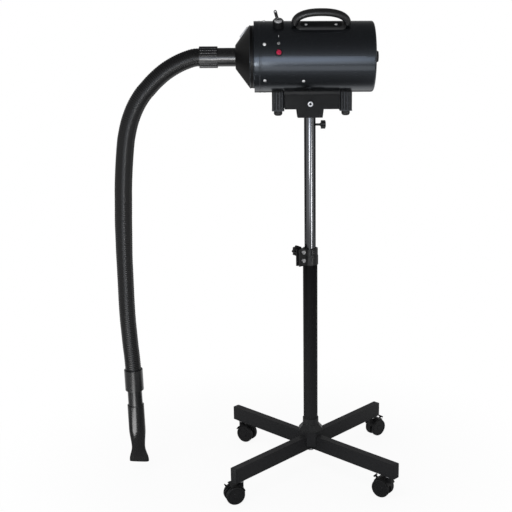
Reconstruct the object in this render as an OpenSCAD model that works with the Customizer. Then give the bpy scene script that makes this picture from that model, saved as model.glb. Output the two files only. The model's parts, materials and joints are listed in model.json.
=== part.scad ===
// Pet dryer on a rolling stand: a tilting blower head with a flexible hose,
// carried by a telescopic pole on a four-armed base with locking castors.
// Origin: on the floor under the pole. +Z up, the blower's axis along X,
// its outlet towards -X and its controls towards -Y. Millimetres.

/* [Base] */
// Reach of each arm from the middle of the base
arm_reach = 300; // [260:5:360]
// Width of the rectangular arm tube
arm_w = 20; // [18:1:26]
// Height of the arm tube
arm_h = 40; // [34:1:50]
// Wall of the arm tube
arm_wall = 1.5; // [1.2:0.1:2.5]
// Thickness of the plastic end plug outside the arm tube
arm_cap_t = 3; // [2:0.5:5]
// Across the flats of the eight-sided hub block
hub_af = 60; // [56:1:72]
// Depth of the hub block below the top of the arms
hub_drop = 28; // [15:1:32]
// Height of the hub block above the top of the arms
hub_rise = 14; // [8:1:20]
// Across the flats of the hub cover's lip
hub_lip_af = 64; // [62:1:76]
// Height of the hub cover's lip
hub_lip_h = 4; // [2:0.5:8]
// Height of the hub cover's sloping part
hub_flare_h = 12; // [8:1:20]
// Height of the hub cover's sleeve
hub_sleeve_h = 18; // [10:1:30]
// Wall of the hub cover's sleeve
hub_sleeve_wall = 2.2; // [1.5:0.1:4]

/* [Castors] */
// Diameter of the castor wheels
wheel_d = 50; // [44:1:60]
// Width of one wheel
wheel_w = 12; // [10:1:18]
// Thickness of the web between the two wheels
web_t = 11; // [10.4:0.1:14]
// Distance from the swivel axis to the axle
trail = 17.5; // [17:0.5:22]
// Height from the top of the wheel to the arm
crown_h = 10; // [9:0.5:14]
// Thickness of the hood over the wheels
hood_t = 2; // [1.5:0.1:2.6]
// Radius of the fixed swivel pin
stem_r = 3.5; // [3:0.1:4]
// Distance of the castors from the ends of the arms
stem_inset = 25; // [18:1:40]
// Length of the brake tab outside the hood
tab_l = 8; // [5:0.5:9]

/* [Column and pole] */
// Outside diameter of the column
column_d = 39; // [36:0.5:44]
// Length of the column
column_l = 510; // [450:10:600]
// Wall of the column tube
column_wall = 1.5; // [1.2:0.1:2.5]
// Outside diameter of the sliding pole
pole_d = 30; // [26:0.5:31]
// Wall of the sliding pole
pole_wall = 1.5; // [1.2:0.1:2.5]
// Length of the sliding pole
pole_l = 560; // [500:10:600]
// Height of the pole's top above the column's top, as it stands
pole_out = 369; // [330:1:400]
// Length of the guide bush in the column
bush_l = 55; // [40:1:70]

/* [Height clamp] */
// Length of the clamp round the column
clamp_low_h = 24; // [20:1:30]
// Length of the clamp round the pole
clamp_top_h = 20; // [14:1:26]
// Wall of the clamp round the column
clamp_wall = 2; // [1.5:0.1:4]
// Direction in which the clamp's ears point
clamp_dir = 220; // [180:1:270]
// Gap between the clamp's ears
ear_gap = 6; // [3:0.5:8]
// Thickness of one ear
ear_t = 4.5; // [3:0.5:6]
// Reach of the ears from the pole's axis
ear_reach = 44.5; // [40:0.5:50]
// Distance of the clamp's bolts from the pole's axis
ear_bolt_at = 33; // [31:0.5:36]
// Radius of the clamp's bolts
clamp_bolt_r = 3; // [2.5:0.1:3.5]
// Diameter of the clamp's knob
clamp_knob_d = 29; // [24:1:34]
// Thickness of the clamp's knob
clamp_knob_t = 14; // [8:1:18]

/* [Pole head] */
// Height of the tilt bolt above the pole's top
tilt_rise = 36; // [30:0.5:40]
// Radius of the tongue round the tilt bolt
tongue_r = 20; // [16:0.5:24]
// Length of the block that rests on the pole, along X
block_l = 69.5; // [50:0.5:80]
// Height of the block that rests on the pole
block_h = 23; // [14:1:26]
// Length of the spigot in the pole
spigot_l = 50; // [40:1:70]
// Radius of the tilt bolt
tilt_bolt_r = 5; // [4:0.5:6]
// Depth of the thumb screw below the pole's top
thumb_drop = 19; // [16:1:30]
// Radius of the thumb screw
thumb_r = 3; // [2.5:0.1:4]
// Diameter of the thumb screw's knob
thumb_knob_d = 22; // [16:1:28]

/* [Head bracket] */
// Width of the bracket's channel
channel_w = 42; // [38:1:48]
// Height of the bracket's channel
channel_h = 38; // [34:1:42]
// Thickness of the bracket's steel
channel_t = 3; // [2:0.1:4]
// Thickness of the pad between the bracket and the housing
pad_t = 4; // [2:0.5:8]

/* [Housing] */
// Diameter of the housing
housing_d = 178; // [170:1:190]
// Length of the shell between the two caps
shell_l = 259.5; // [240:0.5:280]
// Wall of the shell
shell_t = 2; // [1.2:0.1:3]
// Length of the front cap's band
front_l = 19; // [14:1:26]
// Length of the rear cap's band
rear_l = 25; // [22:1:34]
// Distance from the pole's axis forward to the front cap's face
front_at = 141.5; // [134:0.5:150]
// Wall of the end caps
cap_t = 2.5; // [2:0.1:4]
// Radius of the rear cap's corner
rear_corner = 5.5; // [2:0.5:8]
// Roll of the housing towards the controls' side
head_roll = 30; // [28:1:32]

/* [Outlet] */
// Diameter of the outlet cone's neck
neck_d = 156; // [146:1:162]
// Length of the neck
neck_l = 11; // [6:1:16]
// Length of the cone
cone_l = 36; // [28:1:50]
// Diameter of the cone's small end
cone_end_d = 63; // [58:1:70]
// Diameter of the outlet pipe
pipe_d = 46.4; // [42:0.1:50]
// Length of the pipe outside the cone
pipe_l = 59; // [50:1:70]
// Wall of the pipe
pipe_t = 2; // [1.5:0.1:3]

/* [Handle] */
// Middle of the handle along X
handle_x = 26; // [20:1:32]
// Length of the handle
handle_l = 150.5; // [140:0.5:160]
// Height of the grip's centre line above the housing
handle_rise = 38; // [34:1:46]
// Thickness of the grip
grip_t = 19; // [16:0.5:22]
// Width of the grip
grip_w = 22; // [18:0.5:26]
// Length of the handle's base
saddle_l = 125; // [122:1:132]
// Half of the angle that the handle's base covers
saddle_half = 10.5; // [9:0.5:14]
// Thickness of the handle's base
saddle_t = 5; // [4:0.5:7]
// Distance between the handle's screws
handle_screws = 75; // [60:1:80]

/* [Controls] */
// Place of the switch and the reset button along X
panel_x = -80.5; // [-84:0.5:-74]
// Diameter of the switch's boss
boss_d = 27; // [25:0.5:30]
// Height of the switch's boss
boss_h = 14; // [8:0.5:16]
// Diameter of the switch's nut
nut_d = 23.5; // [18:0.5:25]
// Height of the lever's tip above the housing
lever_tip = 43; // [36:1:48]
// Lean of the lever from the middle
lever_lean = 15; // [10:1:18]
// Diameter of the reset button
reset_d = 15; // [12:0.5:18]
// Angle of the reset button below the switch
reset_angle = 51; // [45:1:58]
// Diameter of the rear knob
rear_knob_d = 29; // [20:1:36]
// Thickness of the rear knob
rear_knob_t = 13.5; // [10:0.5:20]

/* [Feet] */
// Distance between the feet along X
foot_pitch = 174.5; // [166:0.5:178]
// Middle of the feet along X
foot_mid = 5.5; // [4:0.5:10]
// Width of a foot along X
foot_w = 31; // [26:1:34]
// Depth of a foot
foot_d = 24; // [20:1:28]
// Length of a foot's leg below the housing
foot_h = 47.5; // [40:0.5:52]
// Half of the angle between the two rows of feet
foot_splay = 30; // [28:1:32]
// Diameter of the rubber tips
tip_d = 22; // [16:1:24]
// Length of the rubber tips
tip_h = 12; // [8:1:18]

/* [Hose and nozzle] */
// Diameter of the hose
hose_d = 44; // [42:0.5:46]
// Diameter of the upper cuff
cuff_d = 54; // [52:0.5:58]
// Length of the upper cuff
cuff_l = 46; // [40:1:56]
// Overlap of the upper cuff on the pipe
cuff_grip = 14; // [10:1:22]
// Diameter of the lower cuff
low_cuff_d = 50; // [47:0.5:52]
// Length of the lower cuff
low_cuff_l = 66; // [56:1:76]
// Diameter of the nozzle's neck
neck_tube_d = 39; // [36:0.5:40]
// Length of the neck below the cuff
neck_tube_l = 36; // [26:1:42]
// Diameter of the nozzle's round part
nozzle_d = 45; // [41:0.5:46]
// Length of the nozzle below its neck
nozzle_l = 168; // [150:1:172]
// Width of the nozzle's waist above its slot
waist_w = 37; // [34:0.5:42]
// Length of the nozzle's slot
slot_l = 54; // [48:1:64]
// Outside thickness of the nozzle at its slot
slot_t = 13.5; // [10:0.5:14]
// Wall of the nozzle
nozzle_wall = 1.8; // [1.2:0.1:2.2]
// Direction of the slot seen from above
slot_dir = 170; // [90:1:180]

/* [Hidden] */
$fn = 48;

black_steel = "#1b1b1d";
black_gloss = "#101114";
black_rubber = "#0c0c0d";
chrome = "#b9bdc2";
zinc = "#c9ccd0";
foam = "#2b2c2e";

// Clearances: a part that turns or slides in another, a part that is seated
// in another, and a gap between parts that only pass each other.
run_gap = 0.08;
seat_gap = 0.1;
pass_gap = 0.5;

// Base
arm_z = wheel_d + crown_h;
arm_top = arm_z + arm_h;
hub_r = hub_af / 2 / cos(22.5);
hub_lip_r = hub_lip_af / 2 / cos(22.5);
base_bolt_r = 5;
plug_t = 12;
washer_t = 2;
bolt_head_t = 6.4;
ARM_DIRS = [225, 315, 45, 135];

// Castors: swing of each one at rest, in the order of ARM_DIRS
CASTOR_SWING = [198, 144, 38, -33];
stem_at = arm_reach - stem_inset;
wheel_r = wheel_d / 2;
wheel_in = web_t / 2 + pass_gap;
wheel_out = wheel_in + wheel_w;
hood_r = wheel_r + 1.5;
barrel_r = 8;
stem_flange_t = 2.2;
barrel_top = arm_z - stem_flange_t - 0.3;
axle_r = 3;
brake_angle = 50;
brake_at = wheel_r - 6;
brake_t = 4.6;

// Column and pole
column_r = column_d / 2;
column_in = column_r - column_wall;
column_top = arm_top + column_l;
pole_r = pole_d / 2;
pole_in = pole_r - pole_wall;
pole_top = column_top + pole_out;
pole_bottom = pole_top - pole_l;
bush_lip = 2;
glide_h = 30;

// Height clamp
clamp_low_z = column_top + bush_lip - clamp_low_h;
clamp_top_z = column_top + bush_lip + clamp_top_h;
clamp_low_r = column_r + clamp_wall;
clamp_top_r = column_r + clamp_wall / 2;
ear_z = clamp_top_z - 5.5;
ear_low_z = clamp_low_z + 16;
ear_out = ear_gap / 2 + ear_t;

// Pole head and bracket
tilt_z = pole_top + tilt_rise;
channel_top = tilt_z + tongue_r + 1 + channel_t;
channel_in = channel_w - 2 * channel_t;
channel_l = foot_pitch - foot_w - 1;
block_w = channel_in - 0.6;
spigot_r = pole_in - run_gap;
thumb_z = pole_top - thumb_drop;
bracket_screw_at = channel_l / 2 - 20;

// Housing
housing_r = housing_d / 2;
axis_z = channel_top + pad_t + housing_r;
shell_in = housing_r - shell_t;
shell_x0 = front_l - front_at;
shell_x1 = shell_x0 + shell_l;
rear_x = shell_x1 + rear_l;
cap_lap = 9;
neck_r = neck_d / 2;
cone_x = -front_at - neck_l;
cone_end_x = cone_x - cone_l;
pipe_r = pipe_d / 2;
pipe_end_x = cone_end_x - pipe_l;
cuff_x = pipe_end_x + cuff_grip;
screw_x = shell_x0 + 7;
case_screw_r = 3.6;

// Motor and blower
fan_x = -17.5;
fan_l = 45;
fan_r = 70;
motor_r = 46;
motor_l = 96;
boss_reach = 24;
stud_r = 3;
stud_l = rear_x - fan_x - motor_l - 8;
shaft_r = 4;
wheel_of_fan_r = 61;
filter_t = 12;
inlet_w = 28;
inlet_h = 20;
inlet_t = 1.6;
inlet_depth = 18;

// Controls
pivot_h = 12;
bush_r = 6;
rib_count = 12;

// Hose: the middle line from the upper cuff down to the lower cuff
hose_r = hose_d / 2;
cuff_end_x = cuff_x - cuff_l;
low_lean = 1;
HOSE_ROUTE = [
    [-293, 0, 1131], [-307, 0, 1127], [-323, 0, 1121], [-338, 0, 1114],
    [-354, 0, 1105], [-369, 0, 1095], [-385, 0, 1082], [-400, 0, 1068],
    [-412, 0, 1055], [-424, 0, 1042], [-438, 0, 1022], [-449, 0, 1002],
    [-458, 0, 981], [-465, 0, 960], [-470, 0, 940], [-474, 0, 920],
    [-479, 0, 880], [-483, 0, 840], [-486, 0, 800], [-488, 0, 755],
    [-490, 0, 710], [-491, 0, 665], [-492, 0, 620], [-492, 0, 575],
    [-492, 0, 530], [-492, 0, 485], [-491, 0, 440], [-489, 0, 400],
    [-487, 0, 365], [-485, 0, 340], [-484, 0, 320]
];
low_cuff_top = [-483, 0, 300];

// ---- shared shapes ----

module ring(outer, inner, h) {
    difference() {
        cylinder(r = outer, h = h);
        translate([0, 0, -1]) cylinder(r = inner, h = h + 2);
    }
}

// A shape drawn upright, laid along X with its base at x
module along_x(x = 0) {
    translate([x, 0, 0]) rotate([0, 90, 0]) children();
}

// The housing's own frame: origin on its axis, rolled with the head
module on_housing() {
    translate([0, 0, axis_z]) rotate([head_roll, 0, 0]) children();
}

// A place on the housing's surface, where +Z points straight out
module on_skin(x, angle) {
    on_housing() rotate([angle, 0, 0]) translate([x, 0, housing_r]) children();
}

// A rounded knob with finger lobes, standing on z = 0
module lobed_knob(d, h, lobes, dish = 1.5) {
    lobe_r = d / (lobes + 1);
    difference() {
        union() {
            cylinder(r = d / 2 - lobe_r, h = h);
            for (i = [0 : lobes - 1])
                rotate([0, 0, i * 360 / lobes])
                    translate([d / 2 - lobe_r, 0, 0])
                        cylinder(r = lobe_r, h = h - 1, $fn = 24);
        }
        translate([0, 0, h - dish]) cylinder(r = d / 4, h = dish + 1);
    }
}

// A tube with a ring of points around each point of a route
function unit(v) = v / norm(v);
function heading(p, i) = unit(p[min(i + 1, len(p) - 1)] - p[max(i - 1, 0)]);
function ring_points(p, i, a, b, n) =
    let (t = heading(p, i), side = [0, 1, 0], up = cross(t, side))
    [for (k = [0 : n - 1]) p[i] + side * b * cos(k * 360 / n) + up * a * sin(k * 360 / n)];

module swept(route, a, b, n) {
    m = len(route);
    points = [for (i = [0 : m - 1]) each ring_points(route, i, a, b, n)];
    sides = [for (i = [0 : m - 2], k = [0 : n - 1])
        [i * n + k, i * n + (k + 1) % n, (i + 1) * n + (k + 1) % n, (i + 1) * n + k]];
    start = [for (k = [n - 1 : -1 : 0]) k];
    finish = [for (k = [0 : n - 1]) (m - 1) * n + k];
    polyhedron(points = points, faces = concat([start], sides, [finish]), convexity = 6);
}

// ---- base ----

module arm(dir) {
    l = arm_reach - arm_cap_t;
    color(black_steel) rotate([0, 0, dir]) difference() {
        translate([0, -arm_w / 2, arm_z]) cube([l, arm_w, arm_h]);
        translate([-1, -arm_w / 2 + arm_wall, arm_z + arm_wall])
            cube([l + 2, arm_w - 2 * arm_wall, arm_h - 2 * arm_wall]);
        // mitre, so that the four arms meet in the middle
        for (s = [-1, 1])
            rotate([0, 0, s * 45]) translate([-arm_w, s > 0 ? 0 : -arm_w, arm_z - 1])
                cube([2 * arm_w, arm_w, arm_h + 2]);
        translate([0, 0, arm_z - 1]) cylinder(r = base_bolt_r + 0.3, h = arm_h + 2);
        translate([stem_at, 0, arm_z - 1]) cylinder(r = 4 + seat_gap, h = arm_wall + 2);
    }
}

module arm_front_left() { arm(ARM_DIRS[0]); }
module arm_front_right() { arm(ARM_DIRS[1]); }
module arm_back_right() { arm(ARM_DIRS[2]); }
module arm_back_left() { arm(ARM_DIRS[3]); }

module arm_end_caps() {
    inset = arm_wall + seat_gap;
    color(black_gloss) for (dir = ARM_DIRS) rotate([0, 0, dir]) {
        translate([arm_reach - arm_cap_t, -arm_w / 2, arm_z]) cube([arm_cap_t, arm_w, arm_h]);
        difference() {
            translate([arm_reach - arm_cap_t - 12, -arm_w / 2 + inset, arm_z + inset])
                cube([12, arm_w - 2 * inset, arm_h - 2 * inset]);
            translate([arm_reach - arm_cap_t - 13, -arm_w / 2 + inset + 2, arm_z + inset + 2])
                cube([13, arm_w - 2 * inset - 4, arm_h - 2 * inset - 4]);
        }
    }
}

module hub_block() {
    z0 = arm_top - hub_drop;
    slot_w = arm_w + 2 * seat_gap;
    hub_wall = 2.5;
    pocket = hub_af / 2 - hub_wall - arm_w * 1.1;
    color(black_gloss) difference() {
        translate([0, 0, z0]) rotate([0, 0, 22.5]) cylinder(r = hub_r, h = hub_drop + hub_rise, $fn = 8);
        translate([0, 0, arm_top - 1]) cylinder(r = column_r + seat_gap, h = hub_rise + 2);
        for (dir = [45, 135])
            rotate([0, 0, dir]) translate([-hub_r - 1, -slot_w / 2, z0 - 1])
                cube([2 * hub_r + 2, slot_w, hub_drop + 1 + seat_gap]);
        // hollow moulding: the four corners are open boxes from below
        for (dir = [0, 90, 180, 270])
            rotate([0, 0, dir]) translate([hub_af / 2 - hub_wall - pocket, -pocket * 0.7, z0 - 1])
                cube([pocket, pocket * 1.4, hub_drop - 3]);
    }
}

module hub_cover() {
    z0 = arm_top + hub_rise;
    sleeve_r = column_r + hub_sleeve_wall + seat_gap;
    bore_r = column_r + seat_gap;
    color(black_gloss) difference() {
        union() {
            translate([0, 0, z0]) rotate([0, 0, 22.5]) cylinder(r = hub_lip_r, h = hub_lip_h, $fn = 8);
            translate([0, 0, z0 + hub_lip_h]) rotate([0, 0, 22.5])
                cylinder(r1 = hub_lip_r, r2 = (sleeve_r + 0.4) / cos(22.5), h = hub_flare_h, $fn = 8);
            translate([0, 0, z0 + hub_lip_h + hub_flare_h]) cylinder(r = sleeve_r, h = hub_sleeve_h);
        }
        translate([0, 0, z0 - 1]) cylinder(r = bore_r, h = hub_lip_h + hub_flare_h + hub_sleeve_h + 2);
    }
}

module column_tube() {
    color(black_steel) translate([0, 0, arm_top]) ring(column_r, column_in, column_l);
}

module column_plug() {
    color(zinc) translate([0, 0, arm_top]) ring(column_in - 0.05, base_bolt_r + 0.05, plug_t);
}

module base_bolt() {
    color(zinc) {
        translate([0, 0, arm_z - washer_t]) ring(12, base_bolt_r + 0.2, washer_t);
        translate([0, 0, arm_z - washer_t - bolt_head_t]) cylinder(r = 9.8, h = bolt_head_t, $fn = 6);
        translate([0, 0, arm_z - washer_t - 0.5])
            cylinder(r = base_bolt_r, h = washer_t + 0.5 + arm_h + plug_t - 1);
    }
}

// ---- castors: local +X is the way the wheels trail, the swivel axis is Z ----

module at_castor(i) {
    translate([stem_at * cos(ARM_DIRS[i]), stem_at * sin(ARM_DIRS[i]), 0])
        rotate([0, 0, CASTOR_SWING[i]]) children();
}

// Local frame on the axle, with its 2D X along the trail and 2D Y up
module on_axle() {
    translate([trail, 0, wheel_r]) rotate([90, 0, 0]) children();
}

module castor_stems() {
    nut_z = arm_z + arm_wall;
    color(zinc) for (i = [0 : 3]) at_castor(i) {
        translate([0, 0, wheel_r + 8]) cylinder(r = stem_r, h = arm_z - wheel_r - 8);
        translate([0, 0, arm_z - stem_flange_t]) cylinder(r = barrel_r + 1.5, h = stem_flange_t);
        translate([0, 0, arm_z - 1]) cylinder(r = 4, h = 1 + arm_wall + 8);
        translate([0, 0, nut_z]) difference() {
            cylinder(r = 7.5, h = 6, $fn = 6);
            translate([0, 0, -1]) cylinder(r = 4.05, h = 8);
        }
    }
}

module castor_frame(i) {
    outer = hood_r + hood_t;
    color(black_gloss) at_castor(i) difference() {
        union() {
            // web between the wheels: a sector that joins the axle to the hood
            on_axle() translate([0, 0, -web_t / 2]) linear_extrude(web_t) {
                circle(r = 9);
                intersection() {
                    circle(r = outer - 0.5);
                    polygon([[0, 0], [60, 30], [0, 70], [-60, 60], [-60, -3], [-4, -9]]);
                }
            }
            // hood over both wheels
            on_axle() rotate([0, 0, 64]) rotate_extrude(angle = 92)
                translate([hood_r, -wheel_out]) square([hood_t, 2 * wheel_out]);
            // barrel round the fixed stem, cut back to the hood
            difference() {
                translate([0, 0, wheel_r + 10]) cylinder(r = barrel_r, h = barrel_top - wheel_r - 10);
                on_axle() translate([0, 0, -wheel_out - 1]) cylinder(r = hood_r + 0.2, h = 2 * wheel_out + 2);
            }
        }
        translate([0, 0, wheel_r + 7.5]) cylinder(r = stem_r + run_gap, h = 60);
        on_axle() translate([0, 0, -wheel_out - 1]) cylinder(r = axle_r + run_gap, h = 2 * wheel_out + 2);
        // slot and pivot for the brake lever
        on_axle() translate([0, 0, -brake_t / 2 - 0.2]) linear_extrude(brake_t + 0.4)
            polygon([[9, 7], [34, 14], [30, 31], [13, 31], [6, 16]]);
        on_axle() rotate([0, 0, brake_angle]) translate([brake_at, 0, -web_t])
            cylinder(r = 2 + run_gap, h = 2 * web_t);
        // room for the brake tab beside the slot
        on_axle() translate([0, 0, -wheel_out - 1]) linear_extrude(2 * wheel_out + 2)
            polygon([[25.5, 12], [40, 14], [30, 45], [15, 32], [15, 26]]);
    }
}

module castor_wheels(i) {
    face = wheel_out;
    rim = wheel_r;
    color(black_rubber) at_castor(i) {
        for (s = [0, 180]) on_axle() rotate([s, 0, 0]) rotate_extrude() polygon([
            [axle_r + 0.02, wheel_in], [rim - 2.5, wheel_in], [rim - 0.7, wheel_in + 0.7],
            [rim, wheel_in + 2.5], [rim, face - 3], [rim - 0.9, face - 0.9], [rim - 3, face],
            [rim - 5, face], [rim - 6, face - 1.6], [8, face - 1.6], [7, face], [0, face],
            [0, face - 2], [axle_r + 0.02, face - 2]
        ]);
        on_axle() translate([0, 0, 2.02 - face]) cylinder(r = axle_r, h = 2 * (face - 2.02));
    }
}

module castor_brake(i) {
    reach = hood_r + hood_t + tab_l - brake_at;
    color(black_gloss) at_castor(i) on_axle() rotate([0, 0, brake_angle]) translate([brake_at, 0, 0]) {
        cylinder(r = 2, h = web_t - 0.4, center = true);
        translate([0, 0, -brake_t / 2]) cylinder(r = 3.4, h = brake_t);
        translate([0, -2.2, -brake_t / 2]) cube([reach - 2, 4.4, brake_t]);
        translate([reach - tab_l * 0.55, -2.2, -8]) cube([tab_l * 0.55, 3, 16]);
    }
}

module castor_frame_fl() { castor_frame(0); }
module castor_frame_fr() { castor_frame(1); }
module castor_frame_br() { castor_frame(2); }
module castor_frame_bl() { castor_frame(3); }
module castor_wheels_fl() { castor_wheels(0); }
module castor_wheels_fr() { castor_wheels(1); }
module castor_wheels_br() { castor_wheels(2); }
module castor_wheels_bl() { castor_wheels(3); }
module castor_brake_fl() { castor_brake(0); }
module castor_brake_fr() { castor_brake(1); }
module castor_brake_br() { castor_brake(2); }
module castor_brake_bl() { castor_brake(3); }

// ---- pole and height clamp ----

module column_bush() {
    color(black_gloss) {
        translate([0, 0, column_top - bush_l]) ring(column_in - 0.05, pole_r + run_gap, bush_l);
        translate([0, 0, column_top]) ring(column_r, pole_r + run_gap, bush_lip);
    }
}

// Frame of the clamp's ears: +X along the ears, +Z along the bolts, origin at a bolt
module at_ear_bolt(z) {
    translate([0, 0, z]) rotate([0, 0, clamp_dir]) translate([ear_bolt_at, 0, 0])
        rotate([90, 0, 0]) children();
}

module height_clamp() {
    seam_z = column_top + bush_lip;
    color(black_gloss) difference() {
        union() {
            translate([0, 0, clamp_low_z]) cylinder(r = clamp_low_r, h = clamp_low_h);
            translate([0, 0, seam_z - 1]) cylinder(r = clamp_top_r, h = clamp_top_h + 1);
            rotate([0, 0, clamp_dir]) for (s = [-1, 1])
                translate([pole_r, s > 0 ? ear_gap / 2 : -ear_out, clamp_low_z + 1])
                    cube([ear_reach - pole_r, ear_t, clamp_low_h + clamp_top_h + 1]);
        }
        translate([0, 0, clamp_low_z - 1]) cylinder(r = column_r + seat_gap, h = clamp_low_h + 1);
        translate([0, 0, seam_z - 1.5]) cylinder(r = pole_r + 0.3, h = clamp_top_h + 5);
        rotate([0, 0, clamp_dir]) translate([0, -ear_gap / 2, clamp_low_z - 1])
            cube([ear_reach + 1, ear_gap, clamp_low_h + clamp_top_h + 6]);
        for (z = [ear_z, ear_low_z])
            at_ear_bolt(z) translate([0, 0, -30]) cylinder(r = clamp_bolt_r + run_gap, h = 60);
        // relief slots between the gripping fingers
        for (a = [60, 120, 240, 300])
            rotate([0, 0, clamp_dir + a]) translate([pole_r - 2, -1.2, seam_z + 4])
                cube([12, 2.4, clamp_top_h]);
    }
}

module clamp_bolt() {
    nut = clamp_bolt_r * 1.9;
    color(zinc) {
        at_ear_bolt(ear_low_z) {
            translate([0, 0, -ear_out - 5]) cylinder(r = clamp_bolt_r, h = 2 * ear_out + 9);
            translate([0, 0, ear_out]) cylinder(r = nut, h = 4, $fn = 6);
            translate([0, 0, -ear_out - 5]) difference() {
                cylinder(r = nut, h = 5, $fn = 6);
                translate([0, 0, -1]) cylinder(r = clamp_bolt_r + 0.05, h = 7);
            }
        }
        at_ear_bolt(ear_z) translate([0, 0, -ear_out - 5]) difference() {
            cylinder(r = nut, h = 5, $fn = 6);
            translate([0, 0, -1]) cylinder(r = clamp_bolt_r + run_gap, h = 7);
        }
    }
}

module clamp_screw() {
    color(zinc) at_ear_bolt(ear_z) translate([0, 0, -ear_out - 6])
        cylinder(r = clamp_bolt_r, h = 2 * ear_out + 16);
}

module clamp_knob() {
    color(black_gloss) at_ear_bolt(ear_z) translate([0, 0, ear_out + pass_gap]) difference() {
        union() {
            cylinder(r = 7, h = 3);
            translate([0, 0, 2]) lobed_knob(clamp_knob_d, clamp_knob_t - 2, 8);
        }
        translate([0, 0, -1]) cylinder(r = clamp_bolt_r + 0.03, h = 11);
    }
}

module inner_pole() {
    color(chrome) difference() {
        translate([0, 0, pole_bottom]) ring(pole_r, pole_in, pole_l);
        translate([0, 0, thumb_z]) along_x(0) cylinder(r = thumb_r + run_gap, h = pole_d);
    }
}

module pole_glide() {
    color(black_gloss) {
        translate([0, 0, pole_bottom - 6]) ring(column_in - 0.1, pole_in - 4, 6);
        translate([0, 0, pole_bottom]) ring(column_in - 0.1, pole_r + 0.05, glide_h - 6);
        translate([0, 0, pole_bottom - 1]) ring(pole_in - 0.05, pole_in - 4, 20);
    }
}

module thumb_screw() {
    knob_x = pole_r + 11.5;
    color(black_gloss) translate([0, 0, thumb_z]) {
        along_x(spigot_r + 0.1) cylinder(r = thumb_r, h = knob_x - spigot_r + 2);
        along_x(knob_x) cylinder(r = thumb_r + 1.6, h = 3);
        along_x(knob_x + 2) lobed_knob(thumb_knob_d, 12.5, 6);
    }
}

// ---- pole head and tilt bracket ----

module pole_head() {
    taper = 2.6;
    cheek = 6;
    shoulder = pole_top + block_h;
    color(black_steel) difference() {
        union() {
            translate([0, block_w / 2, 0]) rotate([90, 0, 0]) linear_extrude(block_w) {
                polygon([
                    [-block_l / 2 + taper, pole_top], [block_l / 2 - taper, pole_top],
                    [block_l / 2, shoulder - 4], [block_l / 2, shoulder],
                    [tongue_r, shoulder], [tongue_r, tilt_z], [-tongue_r, tilt_z],
                    [-tongue_r, shoulder], [-block_l / 2, shoulder], [-block_l / 2, shoulder - 4]
                ]);
                translate([0, tilt_z]) circle(r = tongue_r);
            }
            translate([0, 0, pole_top - spigot_l]) cylinder(r = spigot_r, h = spigot_l + 1);
        }
        translate([0, block_w, tilt_z]) rotate([90, 0, 0])
            cylinder(r = tilt_bolt_r + 0.05, h = 2 * block_w);
        // the block is a cradle with two cheeks
        translate([-block_l / 2 + cheek, -block_w / 2 + cheek, pole_top + cheek])
            cube([block_l - 2 * cheek, block_w - 2 * cheek, block_h + tilt_rise]);
        // groove round the spigot that the thumb screw holds
        translate([0, 0, thumb_z - thumb_r - 1]) ring(pole_in + 1, spigot_r - 1.2, 2 * thumb_r + 2);
    }
}

module tilt_bolt() {
    outside = channel_w / 2 + washer_t;
    color(zinc) translate([0, 0, tilt_z]) rotate([90, 0, 0]) {
        translate([0, 0, -outside - 10]) cylinder(r = tilt_bolt_r, h = 2 * outside + 11);
        difference() {
            translate([0, 0, outside]) cylinder(r = 8, h = bolt_head_t);
            translate([0, 0, outside + 3]) cylinder(r = 4.6, h = 9, $fn = 6);
        }
        translate([0, 0, -outside - 8]) difference() {
            cylinder(r = 9, h = 8, $fn = 6);
            translate([0, 0, -1]) cylinder(r = tilt_bolt_r + 0.05, h = 10);
        }
        for (z = [-outside, outside - washer_t + 0.1])
            translate([0, 0, z]) ring(9.5, tilt_bolt_r + 0.05, washer_t - 0.1);
    }
}

module head_bracket() {
    z0 = channel_top - channel_h;
    color(black_steel) difference() {
        translate([foot_mid - channel_l / 2, -channel_w / 2, z0]) cube([channel_l, channel_w, channel_h]);
        translate([foot_mid - channel_l / 2 - 1, -channel_in / 2, z0 - 1])
            cube([channel_l + 2, channel_in, channel_h - channel_t + 1]);
        translate([0, channel_w, tilt_z]) rotate([90, 0, 0])
            cylinder(r = tilt_bolt_r + run_gap, h = 2 * channel_w);
        for (s = [-1, 1])
            translate([foot_mid + s * bracket_screw_at, 0, channel_top - channel_t - 1])
                cylinder(r = 3 + seat_gap, h = channel_t + 2);
    }
}

module bracket_pad() {
    w = channel_w - 4;
    color("#3a3b3d") difference() {
        translate([foot_mid - channel_l / 2, -w / 2, channel_top]) cube([channel_l, w, pad_t + 6]);
        translate([0, 0, axis_z]) along_x(-front_at) cylinder(r = housing_r + 0.05, h = 2 * front_at + 60, $fn = 96);
        for (s = [-1, 1])
            translate([foot_mid + s * bracket_screw_at, 0, channel_top - 1]) cylinder(r = 3 + seat_gap, h = 20);
    }
}

// ---- housing ----

module housing_shell() {
    color(black_steel) difference() {
        on_housing() along_x(shell_x0) ring(housing_r, shell_in, shell_l);
        on_skin(panel_x, 0) translate([0, 0, -10]) cylinder(r = bush_r + seat_gap, h = 20);
        on_skin(panel_x, reset_angle) translate([0, 0, -10]) cylinder(r = reset_d / 2 - 1 + run_gap, h = 20);
        for (s = [-1, 1])
            translate([foot_mid + s * bracket_screw_at, 0, channel_top])
                cylinder(r = 3 + seat_gap, h = pad_t + 12);
        inlet_place() translate([-inlet_w / 2 - seat_gap, -inlet_h / 2 - seat_gap, -20])
            cube([inlet_w + 2 * seat_gap, inlet_h + 2 * seat_gap, 30]);
    }
}

module front_cap() {
    inner = neck_r - 8;
    color(black_steel) on_housing() along_x(-front_at) difference() {
        union() {
            cylinder(r = housing_r, h = front_l);
            cylinder(r = shell_in - seat_gap, h = front_l + cap_lap);
        }
        translate([0, 0, cap_t]) cylinder(r = shell_in - cap_t, h = front_l + cap_lap);
        translate([0, 0, -1]) cylinder(r = inner, h = 10);
    }
}

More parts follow.
